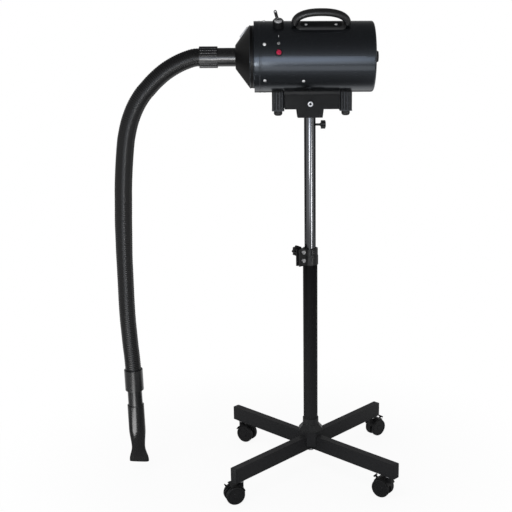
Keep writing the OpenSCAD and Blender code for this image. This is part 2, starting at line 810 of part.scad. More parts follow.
module outlet_cone() {
    t = cap_t;
    r1 = cone_end_d / 2;
    color(black_steel) on_housing() along_x(cone_end_x) difference() {
        rotate_extrude($fn = 96) polygon([
            [pipe_r + 0.05, 0], [r1 - 2, 0], [r1, 1.5], [neck_r - 1, cone_l - 1], [neck_r, cone_l + 0.5],
            [neck_r, cone_l + neck_l], [neck_r - 8 - seat_gap, cone_l + neck_l],
            [neck_r - 8 - seat_gap, cone_l + 2], [r1 - 1, t + 3], [pipe_r + 0.05, t + 3]
        ]);
    }
}

module outlet_pipe() {
    flange = 3;
    color(black_gloss) on_housing() along_x(pipe_end_x) {
        difference() {
            union() {
                cylinder(r = pipe_r, h = pipe_l + cap_t + 3 + flange);
                translate([0, 0, pipe_l + cap_t + 3]) cylinder(r = pipe_r + 2.5, h = flange);
            }
            translate([0, 0, -1]) cylinder(r = pipe_r - pipe_t, h = pipe_l + cap_t + flange + 9);
        }
    }
}

module rear_cap() {
    slots = [[24, 24, 24], [36, 54, 24]];
    color(black_steel) on_housing() along_x(shell_x1) difference() {
        union() {
            rotate_extrude() {
                square([housing_r - rear_corner, rear_l]);
                square([housing_r, rear_l - rear_corner]);
                translate([housing_r - rear_corner, rear_l - rear_corner]) circle(r = rear_corner);
            }
            translate([0, 0, -cap_lap]) cylinder(r = shell_in - seat_gap, h = cap_lap + 1);
        }
        translate([0, 0, -cap_lap - 1]) cylinder(r = shell_in - cap_t, h = rear_l - cap_t + cap_lap + 1);
        cylinder(r = stud_r + run_gap, h = rear_l + 1);
        // intake grille: two rings of radial slots
        for (s = slots, i = [0 : s[0] - 1])
            rotate([0, 0, i * 360 / s[0]]) translate([s[1], -1.9, rear_l - cap_t - 1])
                cube([s[2], 3.8, cap_t + 2]);
    }
}

module rear_knob() {
    color(black_gloss) on_housing() along_x(rear_x + 0.3) {
        difference() {
            union() {
                cylinder(r = rear_knob_d / 2 - 1.2, h = rear_knob_t - 0.3);
                for (i = [0 : rib_count - 1])
                    rotate([0, 0, i * 360 / rib_count]) translate([rear_knob_d / 2 - 2.2, 0, 0])
                        cylinder(r = 2.2, h = rear_knob_t - 2, $fn = 16);
            }
            translate([0, 0, rear_knob_t - 2]) cylinder(r = rear_knob_d / 2 - 5, h = 3);
        }
        translate([0, 0, -stud_l]) cylinder(r = stud_r, h = stud_l + 1);
    }
}

module intake_filter() {
    color(foam) on_housing() along_x(rear_x - cap_t - filter_t - 0.3) difference() {
        cylinder(r = shell_in - cap_t - 0.3, h = filter_t);
        translate([0, 0, -1]) cylinder(r = stud_r + 0.3, h = filter_t + 2);
    }
}

module case_screws() {
    color(zinc) {
        // pan heads that hold the front cap, and two that hold the motor
        for (i = [0 : 5]) on_skin(screw_x, 38 - 60 * i) pan_screw();
        for (a = [99.4, -80.6]) on_skin(-19, a) pan_screw();
        for (s = [-1, 1]) on_skin(handle_x + s * handle_screws / 2, 0)
            translate([0, 0, saddle_t]) pan_screw();
        // hex bolts of the bracket, with their nuts inside the shell
        for (s = [-1, 1]) translate([foot_mid + s * bracket_screw_at, 0, 0]) {
            translate([0, 0, channel_top - channel_t - 4]) cylinder(r = 5.8, h = 4, $fn = 6);
            translate([0, 0, channel_top - channel_t - 1]) cylinder(r = 3, h = channel_t + pad_t + shell_t + 7);
            translate([0, 0, channel_top + pad_t + shell_t + 0.2]) difference() {
                cylinder(r = 5.8, h = 4.5, $fn = 6);
                translate([0, 0, -1]) cylinder(r = 3.05, h = 7);
            }
        }
    }
}

module pan_screw() {
    translate([0, 0, 0.05]) rotate_extrude($fn = 24) intersection() {
        square([case_screw_r, 2.4]);
        translate([0, -2.6]) circle(r = 5);
    }
}

// ---- handle ----

// Centre line of the grip: a flat arch whose ends turn in under it
function grip_point(a) = let (
    c = cos(a), s = sin(a), p = 0.86,
    half = (handle_l - grip_t) / 2, rise = handle_rise - 5
) [
    handle_x + half * sign(c) * pow(abs(c), p), 0,
    housing_r + 5 + rise * sign(s) * pow(abs(s), p)
];
GRIP_ROUTE = [for (i = [0 : 26]) grip_point(198 - i * 216 / 26)];

module handle_grip() {
    color(black_gloss) on_housing() difference() {
        swept(GRIP_ROUTE, grip_t / 2, grip_w / 2, 16);
        along_x(handle_x - handle_l) cylinder(r = housing_r + saddle_t + 0.05, h = 2 * handle_l, $fn = 96);
    }
}

module handle_base() {
    corner = 12;
    half = housing_r * tan(saddle_half);
    color(black_steel) on_housing() difference() {
        intersection() {
            along_x(handle_x - saddle_l / 2) cylinder(r = housing_r + saddle_t, h = saddle_l, $fn = 96);
            translate([handle_x, 0, 0]) linear_extrude(2 * housing_r) {
                square([saddle_l, 2 * (half - corner)], center = true);
                square([saddle_l - 2 * corner, 2 * half], center = true);
                for (sx = [-1, 1], sy = [-1, 1])
                    translate([sx * (saddle_l / 2 - corner), sy * (half - corner)]) circle(r = corner);
            }
        }
        along_x(handle_x - saddle_l) cylinder(r = housing_r + 0.05, h = 2 * saddle_l, $fn = 96);
    }
}

// ---- controls ----

module control_collars() {
    reset_r = reset_d / 2;
    color(black_gloss) difference() {
        union() {
            on_skin(panel_x, 0) translate([0, 0, -3]) cylinder(r = boss_d / 2, h = boss_h + 3);
            on_skin(panel_x, reset_angle) translate([0, 0, -3]) cylinder(r = reset_r + 2, h = 5.4);
        }
        on_housing() along_x(shell_x0) cylinder(r = housing_r + 0.05, h = shell_l, $fn = 96);
        on_skin(panel_x, 0) translate([0, 0, -4]) cylinder(r = bush_r + seat_gap, h = boss_h + 8);
        on_skin(panel_x, reset_angle) translate([0, 0, -4]) cylinder(r = reset_r + pass_gap, h = 12);
    }
}

// Toggle switch: its body inside the shell, the bush through the collar, the round nut on top
module switch_body() {
    body_w = 20;
    color(chrome) on_skin(panel_x, 0) difference() {
        union() {
            translate([0, 0, -14]) cylinder(r = bush_r, h = boss_h + 19);
            translate([0, 0, boss_h]) cylinder(r = nut_d / 2, h = 2.6);
            translate([-body_w * 0.7, -body_w / 2, -30]) cube([body_w * 1.4, body_w, 17]);
        }
        translate([0, 0, pivot_h]) sphere(r = 4.1);
        translate([0, 0, pivot_h + 1]) cylinder(r1 = 3.9, r2 = 5.4, h = 8);
    }
}

module switch_lever() {
    tip_r = 3.5;
    l = (lever_tip - pivot_h) / cos(lever_lean) - tip_r;
    color(chrome) on_skin(panel_x, 0) translate([0, 0, pivot_h]) rotate([0, -lever_lean, 0]) {
        sphere(r = 3.8);
        rotate_extrude() polygon([[0, 0], [2, 0], [2.3, l * 0.3], [tip_r, l], [0, l]]);
        translate([0, 0, l]) sphere(r = tip_r);
    }
}

module reset_button() {
    color("#b01234") on_skin(panel_x, reset_angle) {
        translate([0, 0, -12]) cylinder(r = reset_d / 2 - 1, h = 14.6);
        translate([0, 0, 2.6]) rotate_extrude() intersection() {
            square([reset_d / 2, 3]);
            translate([0, -reset_d + 2.4]) circle(r = reset_d);
        }
    }
}

// Inlet on the far side, level with the axis, with +Z straight out
module inlet_place() {
    translate([shell_x1 - 32, 0, axis_z]) rotate([-90, 0, 0]) translate([0, 0, housing_r]) children();
}

module power_inlet() {
    socket_w = inlet_w - 2 * inlet_t;
    socket_h = inlet_h - 2 * inlet_t;
    color(black_gloss) difference() {
        union() {
            difference() {
                inlet_place() translate([-inlet_w / 2 - 4, -inlet_h / 2 - 3, -3])
                    cube([inlet_w + 8, inlet_h + 6, 5]);
                on_housing() along_x(shell_x0) cylinder(r = housing_r + 0.05, h = shell_l, $fn = 96);
            }
            inlet_place() translate([-inlet_w / 2, -inlet_h / 2, -inlet_depth])
                cube([inlet_w, inlet_h, inlet_depth + 1]);
        }
        inlet_place() translate([-socket_w / 2, -socket_h / 2, -inlet_depth + inlet_t])
            cube([socket_w, socket_h, inlet_depth + 2]);
    }
    // the three flat pins
    color(zinc) for (p = [[0, 3], [-7, -3], [7, -3]])
        inlet_place() translate([p[0] - 1, p[1] - 2, -inlet_depth + inlet_t]) cube([2, 4, inlet_depth - 6]);
}

// ---- feet ----

module at_feet() {
    for (s = [-1, 1], row = [-1, 1])
        on_housing() rotate([row * foot_splay, 0, 0]) translate([foot_mid + s * foot_pitch / 2, 0, 0])
            rotate([180, 0, 0]) children();
}

module foot_outline() {
    flute = 2.2;
    difference() {
        square([foot_w, foot_d], center = true);
        for (x = [-1, 0, 1], y = [-1, 1])
            translate([x * foot_w * 0.27, y * (foot_d / 2 + 0.6)]) circle(r = flute + 0.6, $fn = 24);
        for (x = [-1, 1], y = [-1, 1])
            translate([x * foot_w / 2, y * foot_d / 2]) rotate(45) square(4, center = true);
    }
}

module feet() {
    lip = 0.3;
    color(black_gloss) difference() {
        at_feet() {
            translate([0, 0, housing_r - 4]) linear_extrude(foot_h + 4) foot_outline();
            translate([-foot_w / 2 - lip, -foot_d / 2 - lip, housing_r + foot_h - 3])
                cube([foot_w + 2 * lip, foot_d + 2 * lip, 3]);
        }
        at_feet() translate([0, 0, housing_r + foot_h - 12]) cylinder(r = 5.1, h = 14);
        on_housing() along_x(shell_x0) cylinder(r = housing_r + 0.05, h = shell_l, $fn = 96);
    }
}

module foot_tips() {
    r = tip_d / 2;
    round = r * 0.6;
    color(black_rubber) at_feet() translate([0, 0, housing_r + foot_h]) {
        translate([0, 0, -11]) cylinder(r = 5, h = 12);
        rotate_extrude() {
            square([r, tip_h - round]);
            square([r - round, tip_h]);
            intersection() {
                translate([r - round, tip_h - round]) circle(r = round);
                square([r, tip_h]);
            }
        }
    }
}

// ---- motor and blower ----

module fan_shell() {
    color(zinc) on_housing() along_x(fan_x - fan_l) difference() {
        union() {
            cylinder(r = fan_r, h = fan_l);
            translate([0, 0, fan_l - 3]) cylinder(r = shell_in - 0.3, h = 3);
        }
        translate([0, 0, 2]) cylinder(r = fan_r - 2, h = fan_l - 5);
        translate([0, 0, -1]) cylinder(r = 40, h = 5);
        cylinder(r = shaft_r + 1, h = fan_l + 1);
        for (i = [0 : 11])
            rotate([0, 0, i * 30]) translate([fan_r + 8, 0, 0]) cylinder(r = 5, h = fan_l + 1);
    }
}

module motor_body() {
    color("#5a5c60") on_housing() along_x(fan_x) difference() {
        union() {
            cylinder(r = motor_r, h = motor_l * 0.6);
            cylinder(r = motor_r * 0.72, h = motor_l);
            cylinder(r = 9, h = motor_l + boss_reach);
        }
        translate([0, 0, -1]) cylinder(r = shaft_r + run_gap, h = motor_l - 2);
        translate([0, 0, motor_l + 2]) cylinder(r = stud_r + 0.1, h = boss_reach);
        for (i = [0 : 7])
            rotate([0, 0, i * 45]) translate([motor_r - 5, -6, 12]) cube([8, 12, 30]);
    }
}

module blower_wheel() {
    blade_h = 18;
    blades = 9;
    blade_arc = 35;
    back_t = 2;
    ring_t = 1.2;
    hub_of_fan_r = 11;
    front_z = -blade_h - back_t;
    color(zinc) on_housing() along_x(fan_x - 13) {
        translate([0, 0, front_z - 4]) cylinder(r = shaft_r, h = motor_l + 24);
        translate([0, 0, -back_t]) cylinder(r = wheel_of_fan_r, h = back_t);
        translate([0, 0, front_z - 2]) cylinder(r = hub_of_fan_r, h = blade_h + back_t + 4);
        for (i = [0 : blades - 1])
            rotate([0, 0, i * 360 / blades]) translate([blade_arc - 1, 22, front_z + ring_t / 2]) rotate([0, 0, 219])
                rotate_extrude(angle = 92) translate([blade_arc, 0]) square([1.4, blade_h]);
        translate([0, 0, front_z]) ring(wheel_of_fan_r, wheel_of_fan_r / 2, ring_t);
    }
}

// ---- hose and nozzle ----

module ribbed_sleeve(r, l, ribs, depth) {
    difference() {
        cylinder(r = r, h = l);
        for (i = [0 : ribs - 1])
            rotate([0, 0, (i + 0.5) * 360 / ribs]) translate([r + 0.6, 0, 2]) cylinder(r = depth + 0.6, h = l - 4, $fn = 16);
    }
}

module upper_cuff() {
    color(black_gloss) translate([cuff_end_x, 0, axis_z]) rotate([0, 90, 0]) difference() {
        ribbed_sleeve(cuff_d / 2, cuff_l, 24, 0.8);
        translate([0, 0, -1]) cylinder(r = hose_r - 2, h = cuff_l + 2);
        translate([0, 0, cuff_l - cuff_grip]) cylinder(r = pipe_r + seat_gap, h = cuff_grip + 1);
    }
}

module hose() {
    color(black_rubber) swept(concat([[cuff_end_x, 0, axis_z]], HOSE_ROUTE, [low_cuff_top]), hose_r, hose_r, 12);
}

// Frame of the hanging end: origin at the lower cuff's top, +Z down along it
module hanging_end() {
    translate(low_cuff_top) rotate([0, 180 - low_lean, 0]) children();
}

module lower_cuff() {
    color(black_gloss) hanging_end() difference() {
        cylinder(r = low_cuff_d / 2, h = low_cuff_l);
        translate([0, 0, -1]) cylinder(r = hose_r - 4, h = low_cuff_l + 2);
        translate([0, 0, low_cuff_l - 26]) cylinder(r = neck_tube_d / 2 + run_gap, h = 27);
    }
}

// A smooth step from 0 to 1 while t goes from a to b
function eased(t, a, b) = let (u = min(1, max(0, (t - a) / (b - a)))) u * u * (3 - 2 * u);
function between(a, b, share) = a + (b - a) * share;

// Outline of the nozzle at a share t of the way from its round part to its slot:
// it draws in to a waist, then flares to the slot while it grows flat
function nozzle_ring(t, z, inset) = let (
    round_r = nozzle_d / 2,
    a = between(between(round_r, waist_w / 2, eased(t, 0, 0.56)), slot_l / 2, eased(t, 0.56, 0.95)) - inset,
    b = between(round_r, slot_t / 2, eased(t, 0, 0.9)) - inset,
    e = 1 - 0.45 * eased(t, 0.3, 1), n = 32
) [for (k = [0 : n - 1]) let (c = cos(k * 360 / n), d = sin(k * 360 / n))
    [a * sign(c) * pow(abs(c), e), b * sign(d) * pow(abs(d), e), z]];

module nozzle_loft(inset, first_z, z0, z1, extra) {
    n = 32;
    steps = 14;
    straight = nozzle_l * 0.42;
    rings = concat(
        [nozzle_ring(0, first_z, inset)],
        [for (i = [0 : steps]) nozzle_ring(i / steps, z0 + straight + (z1 - z0 - straight) * i / steps, inset)],
        extra > 0 ? [nozzle_ring(1, z1 + extra, inset)] : []
    );
    m = len(rings);
    points = [for (r = rings) each r];
    sides = [for (i = [0 : m - 2], k = [0 : n - 1])
        [i * n + k, (i + 1) * n + k, (i + 1) * n + (k + 1) % n, i * n + (k + 1) % n]];
    first = [for (k = [0 : n - 1]) k];
    last = [for (k = [n - 1 : -1 : 0]) (m - 1) * n + k];
    polyhedron(points = points, faces = concat([first], sides, [last]), convexity = 4);
}

module nozzle() {
    z0 = low_cuff_l + neck_tube_l;
    z1 = z0 + nozzle_l;
    inside = neck_tube_d / 2 - nozzle_wall;
    color(black_gloss) hanging_end() rotate([0, 0, -slot_dir]) difference() {
        union() {
            translate([0, 0, low_cuff_l - 25]) cylinder(r = neck_tube_d / 2, h = neck_tube_l + 27);
            nozzle_loft(0, z0, z0, z1, 0);
        }
        translate([0, 0, low_cuff_l - 26]) cylinder(r = inside, h = neck_tube_l + 30);
        nozzle_loft(nozzle_wall, z0 + 3, z0, z1, 1);
    }
}

arm_front_left();
arm_front_right();
arm_back_right();
arm_back_left();
arm_end_caps();
hub_block();
hub_cover();
column_tube();
column_plug();
base_bolt();
column_bush();
height_clamp();
clamp_bolt();
clamp_knob();
clamp_screw();
castor_stems();
castor_frame_fl();
castor_frame_fr();
castor_frame_br();
castor_frame_bl();
castor_wheels_fl();
castor_wheels_fr();
castor_wheels_br();
castor_wheels_bl();
castor_brake_fl();
castor_brake_fr();
castor_brake_br();
castor_brake_bl();
inner_pole();
pole_glide();
thumb_screw();
pole_head();
tilt_bolt();
head_bracket();
bracket_pad();
housing_shell();
front_cap();
outlet_cone();
outlet_pipe();
rear_cap();
rear_knob();
intake_filter();
handle_grip();
handle_base();
case_screws();
control_collars();
switch_body();
switch_lever();
reset_button();
power_inlet();
feet();
foot_tips();
motor_body();
fan_shell();
blower_wheel();
upper_cuff();
hose();
lower_cuff();
nozzle();
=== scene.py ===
import json
import math

import bpy
from mathutils import Euler, Matrix, Vector

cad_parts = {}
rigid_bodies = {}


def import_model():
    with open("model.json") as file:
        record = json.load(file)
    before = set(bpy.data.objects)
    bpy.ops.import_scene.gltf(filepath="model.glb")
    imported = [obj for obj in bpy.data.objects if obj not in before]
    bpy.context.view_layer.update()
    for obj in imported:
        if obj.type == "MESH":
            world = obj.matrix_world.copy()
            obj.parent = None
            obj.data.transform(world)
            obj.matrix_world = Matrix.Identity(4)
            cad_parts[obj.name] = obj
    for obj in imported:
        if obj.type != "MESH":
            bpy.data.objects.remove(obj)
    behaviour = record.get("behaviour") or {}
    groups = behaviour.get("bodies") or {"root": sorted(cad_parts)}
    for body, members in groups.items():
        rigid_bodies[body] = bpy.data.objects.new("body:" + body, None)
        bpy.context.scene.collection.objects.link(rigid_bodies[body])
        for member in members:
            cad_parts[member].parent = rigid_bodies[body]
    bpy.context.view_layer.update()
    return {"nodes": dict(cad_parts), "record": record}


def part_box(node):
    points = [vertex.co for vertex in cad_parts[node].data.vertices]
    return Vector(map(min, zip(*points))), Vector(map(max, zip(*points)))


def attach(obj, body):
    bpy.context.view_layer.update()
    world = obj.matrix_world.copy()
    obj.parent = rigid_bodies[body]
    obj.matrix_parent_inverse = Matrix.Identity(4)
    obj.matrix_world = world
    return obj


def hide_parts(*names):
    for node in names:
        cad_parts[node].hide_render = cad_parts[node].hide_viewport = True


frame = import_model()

# Pet dryer on a rolling stand. Metres, origin on the floor under the pole,
# +Z up, outlet towards -X, controls towards -Y.

scene = bpy.context.scene
nodes = frame["nodes"]
body_of_node = {
    node: body
    for body, members in frame["record"]["behaviour"]["bodies"].items()
    for node in members
}

MM = 0.001
X, Z = 0, 2


def span(node, axis):
    """Where a node begins and ends along an axis, in millimetres, to a hundredth."""
    low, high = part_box(node)
    return round(low[axis] / MM, 2), round(high[axis] / MM, 2)


def centre(node, axis):
    return sum(span(node, axis)) / 2


CAP_BOTTOM, CAP_TOP = span("front_cap", Z)

# The drum's axis and outside radius and the tilt bolt, in metres
AXIS_Z = (CAP_BOTTOM + CAP_TOP) / 2 * MM
HOUSING_R = (CAP_TOP - CAP_BOTTOM) / 2 * MM
TILT_BOLT_Z = centre("tilt_bolt", Z) * MM

# Places along the drum, in millimetres
SWITCH_X = centre("switch_body", X)
HANDLE_X = centre("handle_base", X)
BRACKET_X = centre("head_bracket", X)
SEAM_X = span("front_cap", X)[1]

# The handle and the switch lean this far to the front
HEAD_ROLL = math.radians(30)

CORNERS = ("fl", "fr", "br", "bl")
ARMS = ["arm_front_left", "arm_front_right", "arm_back_right", "arm_back_left"]

# ---------------------------------------------------------------- camera

LENS = 68.58
SENSOR_WIDTH = 36
SIDE_SHIFT = -0.10577
CAMERA_PLACE = (-0.1432, -2.5293, 1.2311)
CAMERA_TILT, CAMERA_TURN, CAMERA_ROLL = (math.radians(a) for a in (76.215, -3.24, -0.15))

camera_data = bpy.data.cameras.new("camera")
camera_data.lens = LENS
camera_data.sensor_width = SENSOR_WIDTH
camera_data.shift_x = SIDE_SHIFT
camera = bpy.data.objects.new("camera", camera_data)
camera.location = CAMERA_PLACE
aimed = Euler((CAMERA_TILT, 0, CAMERA_TURN)).to_matrix()
camera.rotation_euler = (aimed @ Matrix.Rotation(CAMERA_ROLL, 3, "Z")).to_euler()
scene.collection.objects.link(camera)
scene.camera = camera
scene.view_settings.view_transform = "Standard"


# ---------------------------------------------------------------- helpers

def deselect():
    for other in bpy.context.view_layer.objects:
        other.select_set(False)


def activate(piece):
    deselect()
    piece.select_set(True)
    bpy.context.view_layer.objects.active = piece


def fresh(name):
    """The primitive that was just added, under its own name."""
    piece = bpy.context.active_object
    piece.name = name
    piece.data.name = name
    return piece


def settle(piece):
    """Puts the piece's place into its mesh."""
    activate(piece)
    bpy.ops.object.transform_apply(location=True, rotation=True, scale=True)


def apply_all(piece):
    activate(piece)
    for modifier in list(piece.modifiers):
        bpy.ops.object.modifier_apply(modifier=modifier.name)


def smooth(piece, degrees=32):
    activate(piece)
    bpy.ops.object.shade_smooth_by_angle(angle=math.radians(degrees))


def tapered(name, r1, r2, z0, z1, sides=48):
    """A cone or cylinder from z0 up to z1, in millimetres."""
    deselect()
    bpy.ops.mesh.primitive_cone_add(
        vertices=sides, radius1=r1 * MM, radius2=r2 * MM, depth=(z1 - z0) * MM,
        location=(0, 0, (z0 + z1) / 2 * MM))
    piece = fresh(name)
    settle(piece)
    return piece


def block(name, low, high):
    """A box between two corners, in millimetres."""
    deselect()
    middle = [(a + b) / 2 * MM for a, b in zip(low, high)]
    bpy.ops.mesh.primitive_cube_add(size=1, location=middle)
    piece = fresh(name)
    piece.scale = [(b - a) * MM for a, b in zip(low, high)]
    settle(piece)
    return piece


def ball(name, radius, z=0.0, flat=1.0, sides=40):
    """A ball at a height, flattened to a share of its height, in millimetres."""
    deselect()
    bpy.ops.mesh.primitive_uv_sphere_add(segments=sides, ring_count=sides // 2, radius=radius * MM)
    piece = fresh(name)
    piece.scale = (1, 1, flat)
    piece.location = (0, 0, z * MM)
    settle(piece)
    return piece


def ring(name, radius, thickness, sides, flat=1.0):
    """A ring that lies about the origin, in millimetres, with its sides along and across."""
    deselect()
    bpy.ops.mesh.primitive_torus_add(
        major_segments=sides[0], minor_segments=sides[1],
        major_radius=radius * MM, minor_radius=thickness * MM)
    piece = fresh(name)
    piece.scale = (1, 1, flat)
    settle(piece)
    return piece


def turned(piece, degrees, axis):
    piece.matrix_world = Matrix.Rotation(math.radians(degrees), 4, axis)
    settle(piece)
    return piece


def moved(piece, place):
    piece.location = place
    settle(piece)
    return piece


def lengthwise(name, radius, x0, x1, sides):
    """A cylinder about the X axis, between two places on it, in millimetres."""
    return turned(tapered(name, radius, radius, x0, x1, sides), 90, "Y")


def on_housing(piece, x, degrees=0, lift=0.0):
    """Puts a piece that stands on the origin on the housing.

    x is its place along the drum in millimetres, degrees its turn from the handle
    towards the front, and lift its height over the drum's axis in metres.
    """
    turn = HEAD_ROLL + math.radians(degrees)
    piece.matrix_world = (
        Matrix.Translation((x * MM, 0, AXIS_Z)) @ Matrix.Rotation(turn, 4, "X")
        @ Matrix.Translation((0, 0, lift)))
    settle(piece)
    return piece


def combine(piece, other, operation):
    """Cuts, joins or keeps the common part of two pieces, and takes the other one away."""
    boolean = piece.modifiers.new("combine", "BOOLEAN")
    boolean.operation = operation
    boolean.object = other
    boolean.solver = "EXACT"
    apply_all(piece)
    bpy.data.objects.remove(other)
    return piece


def rounded(piece, width, segments=3, sharp=30):
    """Rounds the edges that are sharper than an angle in degrees, width in millimetres."""
    bevel = piece.modifiers.new("edges", "BEVEL")
    bevel.width = width * MM
    bevel.segments = segments
    bevel.limit_method = "ANGLE"
    bevel.angle_limit = math.radians(sharp)
    bevel.use_clamp_overlap = True
    apply_all(piece)
    smooth(piece, 38)
    weights = piece.modifiers.new("normals", "WEIGHTED_NORMAL")
    weights.keep_sharp = True
    apply_all(piece)
    return piece


def twin(piece, name):
    """A copy with a mesh of its own."""
    other = bpy.data.objects.new(name, piece.data.copy())
    scene.collection.objects.link(other)
    return other


def join(name, pieces):
    deselect()
    for piece in pieces:
        piece.select_set(True)
    bpy.context.view_layer.objects.active = pieces[0]
    if len(pieces) > 1:
        bpy.ops.object.join()
    return fresh(name)


def dress(piece, body, slot, replaces=(), finish=None):
    """Gives a finished piece its finish, its body and the nodes it stands for."""
    piece.data.materials.clear()
    piece.data.materials.append(FINISHES[finish or slot])
    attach(piece, body)
    if replaces:
        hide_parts(*replaces)
    return piece


# ---------------------------------------------------------------- shared effects

def new_group(name, inputs, outputs):
    group = bpy.data.node_groups.new(name, "ShaderNodeTree")
    for label, kind, default in inputs:
        socket = group.interface.new_socket(label, in_out="INPUT", socket_type=kind)
        socket.default_value = default
    for label, kind in outputs:
        group.interface.new_socket(label, in_out="OUTPUT", socket_type=kind)
    return group, group.nodes.new("NodeGroupInput"), group.nodes.new("NodeGroupOutput")


def add(tree, kind, links=(), **values):
    """A node with its properties set, and its inputs given as values or sockets."""
    made = tree.nodes.new(kind)
    for key, value in values.items():
        setattr(made, key, value)
    for label, value in dict(links).items():
        if isinstance(value, bpy.types.NodeSocket):
            tree.links.new(value, made.inputs[label])
        else:
            made.inputs[label].default_value = value
    return made


# Sockets of a colour mix
FIRST, SECOND, MIXED = 6, 7, 2


def maths(tree, operation, *values, **settings):
    """One operation on numbers or sockets."""
    return add(tree, "ShaderNodeMath", dict(enumerate(values)), operation=operation, **settings)


def ramp(tree, value, from_range, to_range, **settings):
    """A value brought from one range to another and kept inside it."""
    return add(tree, "ShaderNodeMapRange", {
        "Value": value, "From Min": from_range[0], "From Max": from_range[1],
        "To Min": to_range[0], "To Max": to_range[1]}, **settings)


def blend_of(tree, factor, first, second):
    """A mix of two colours."""
    return add(tree, "ShaderNodeMix", {"Factor": factor, FIRST: first, SECOND: second},
               data_type="RGBA")


def surface_grain():
    """Fine unevenness of a moulded or coated surface: a height, and a roughness that varies."""
    group, source, result = new_group(
        "surface_grain",
        [
            ("Grain Scale", "NodeSocketFloat", 900.0),
            ("Sweep Scale", "NodeSocketFloat", 14.0),
            ("Roughness", "NodeSocketFloat", 0.4),
            ("Variation", "NodeSocketFloat", 0.1),
        ],
        [("Height", "NodeSocketFloat"), ("Roughness", "NodeSocketFloat")],
    )
    place = add(group, "ShaderNodeTexCoord")
    grain = add(group, "ShaderNodeTexNoise", {
        "Vector": place.outputs["Object"], "Scale": source.outputs["Grain Scale"],
        "Detail": 3.0, "Roughness": 0.6})
    sweep = add(group, "ShaderNodeTexNoise", {
        "Vector": place.outputs["Object"], "Scale": source.outputs["Sweep Scale"],
        "Detail": 5.0, "Roughness": 0.62})
    centred = maths(group, "SUBTRACT", sweep.outputs["Fac"], 0.5)
    swing = maths(group, "MULTIPLY", centred.outputs[0], source.outputs["Variation"])
    rough = maths(group, "ADD", swing.outputs[0], source.outputs["Roughness"], use_clamp=True)
    group.links.new(grain.outputs["Fac"], result.inputs["Height"])
    group.links.new(rough.outputs[0], result.inputs["Roughness"])
    return group


def settled_dust():
    """Pale dust that lies on faces that look up, in patches."""
    group, source, result = new_group(
        "settled_dust",
        [
            ("Color", "NodeSocketColor", (0.02, 0.02, 0.02, 1)),
            ("Dust Color", "NodeSocketColor", (0.2, 0.19, 0.18, 1)),
            ("Amount", "NodeSocketFloat", 0.1),
            ("Patch Scale", "NodeSocketFloat", 22.0),
        ],
        [("Color", "NodeSocketColor"), ("Mask", "NodeSocketFloat")],
    )
    place = add(group, "ShaderNodeTexCoord")
    shape = add(group, "ShaderNodeNewGeometry")
    up = add(group, "ShaderNodeSeparateXYZ", {0: shape.outputs["Normal"]})
    lying = ramp(group, up.outputs["Z"], (0.45, 1.0), (0.0, 1.0))
    patches = add(group, "ShaderNodeTexNoise", {
        "Vector": place.outputs["Object"], "Scale": source.outputs["Patch Scale"],
        "Detail": 6.0, "Roughness": 0.7})
    spots = ramp(group, patches.outputs["Fac"], (0.42, 0.72), (0.0, 1.0))
    both = maths(group, "MULTIPLY", lying.outputs[0], spots.outputs[0])
    mask = maths(group, "MULTIPLY", both.outputs[0], source.outputs["Amount"], use_clamp=True)
    mixed = blend_of(group, mask.outputs[0], source.outputs["Color"], source.outputs["Dust Color"])
    group.links.new(mixed.outputs[MIXED], result.inputs["Color"])
    group.links.new(mask.outputs[0], result.inputs["Mask"])
    return group


GRAIN = surface_grain()
DUST = settled_dust()

SWEEP_SCALE = 14.0
COAT_ROUGHNESS = 0.14
MOTTLE = 0.14           # how far the colour swings to both sides


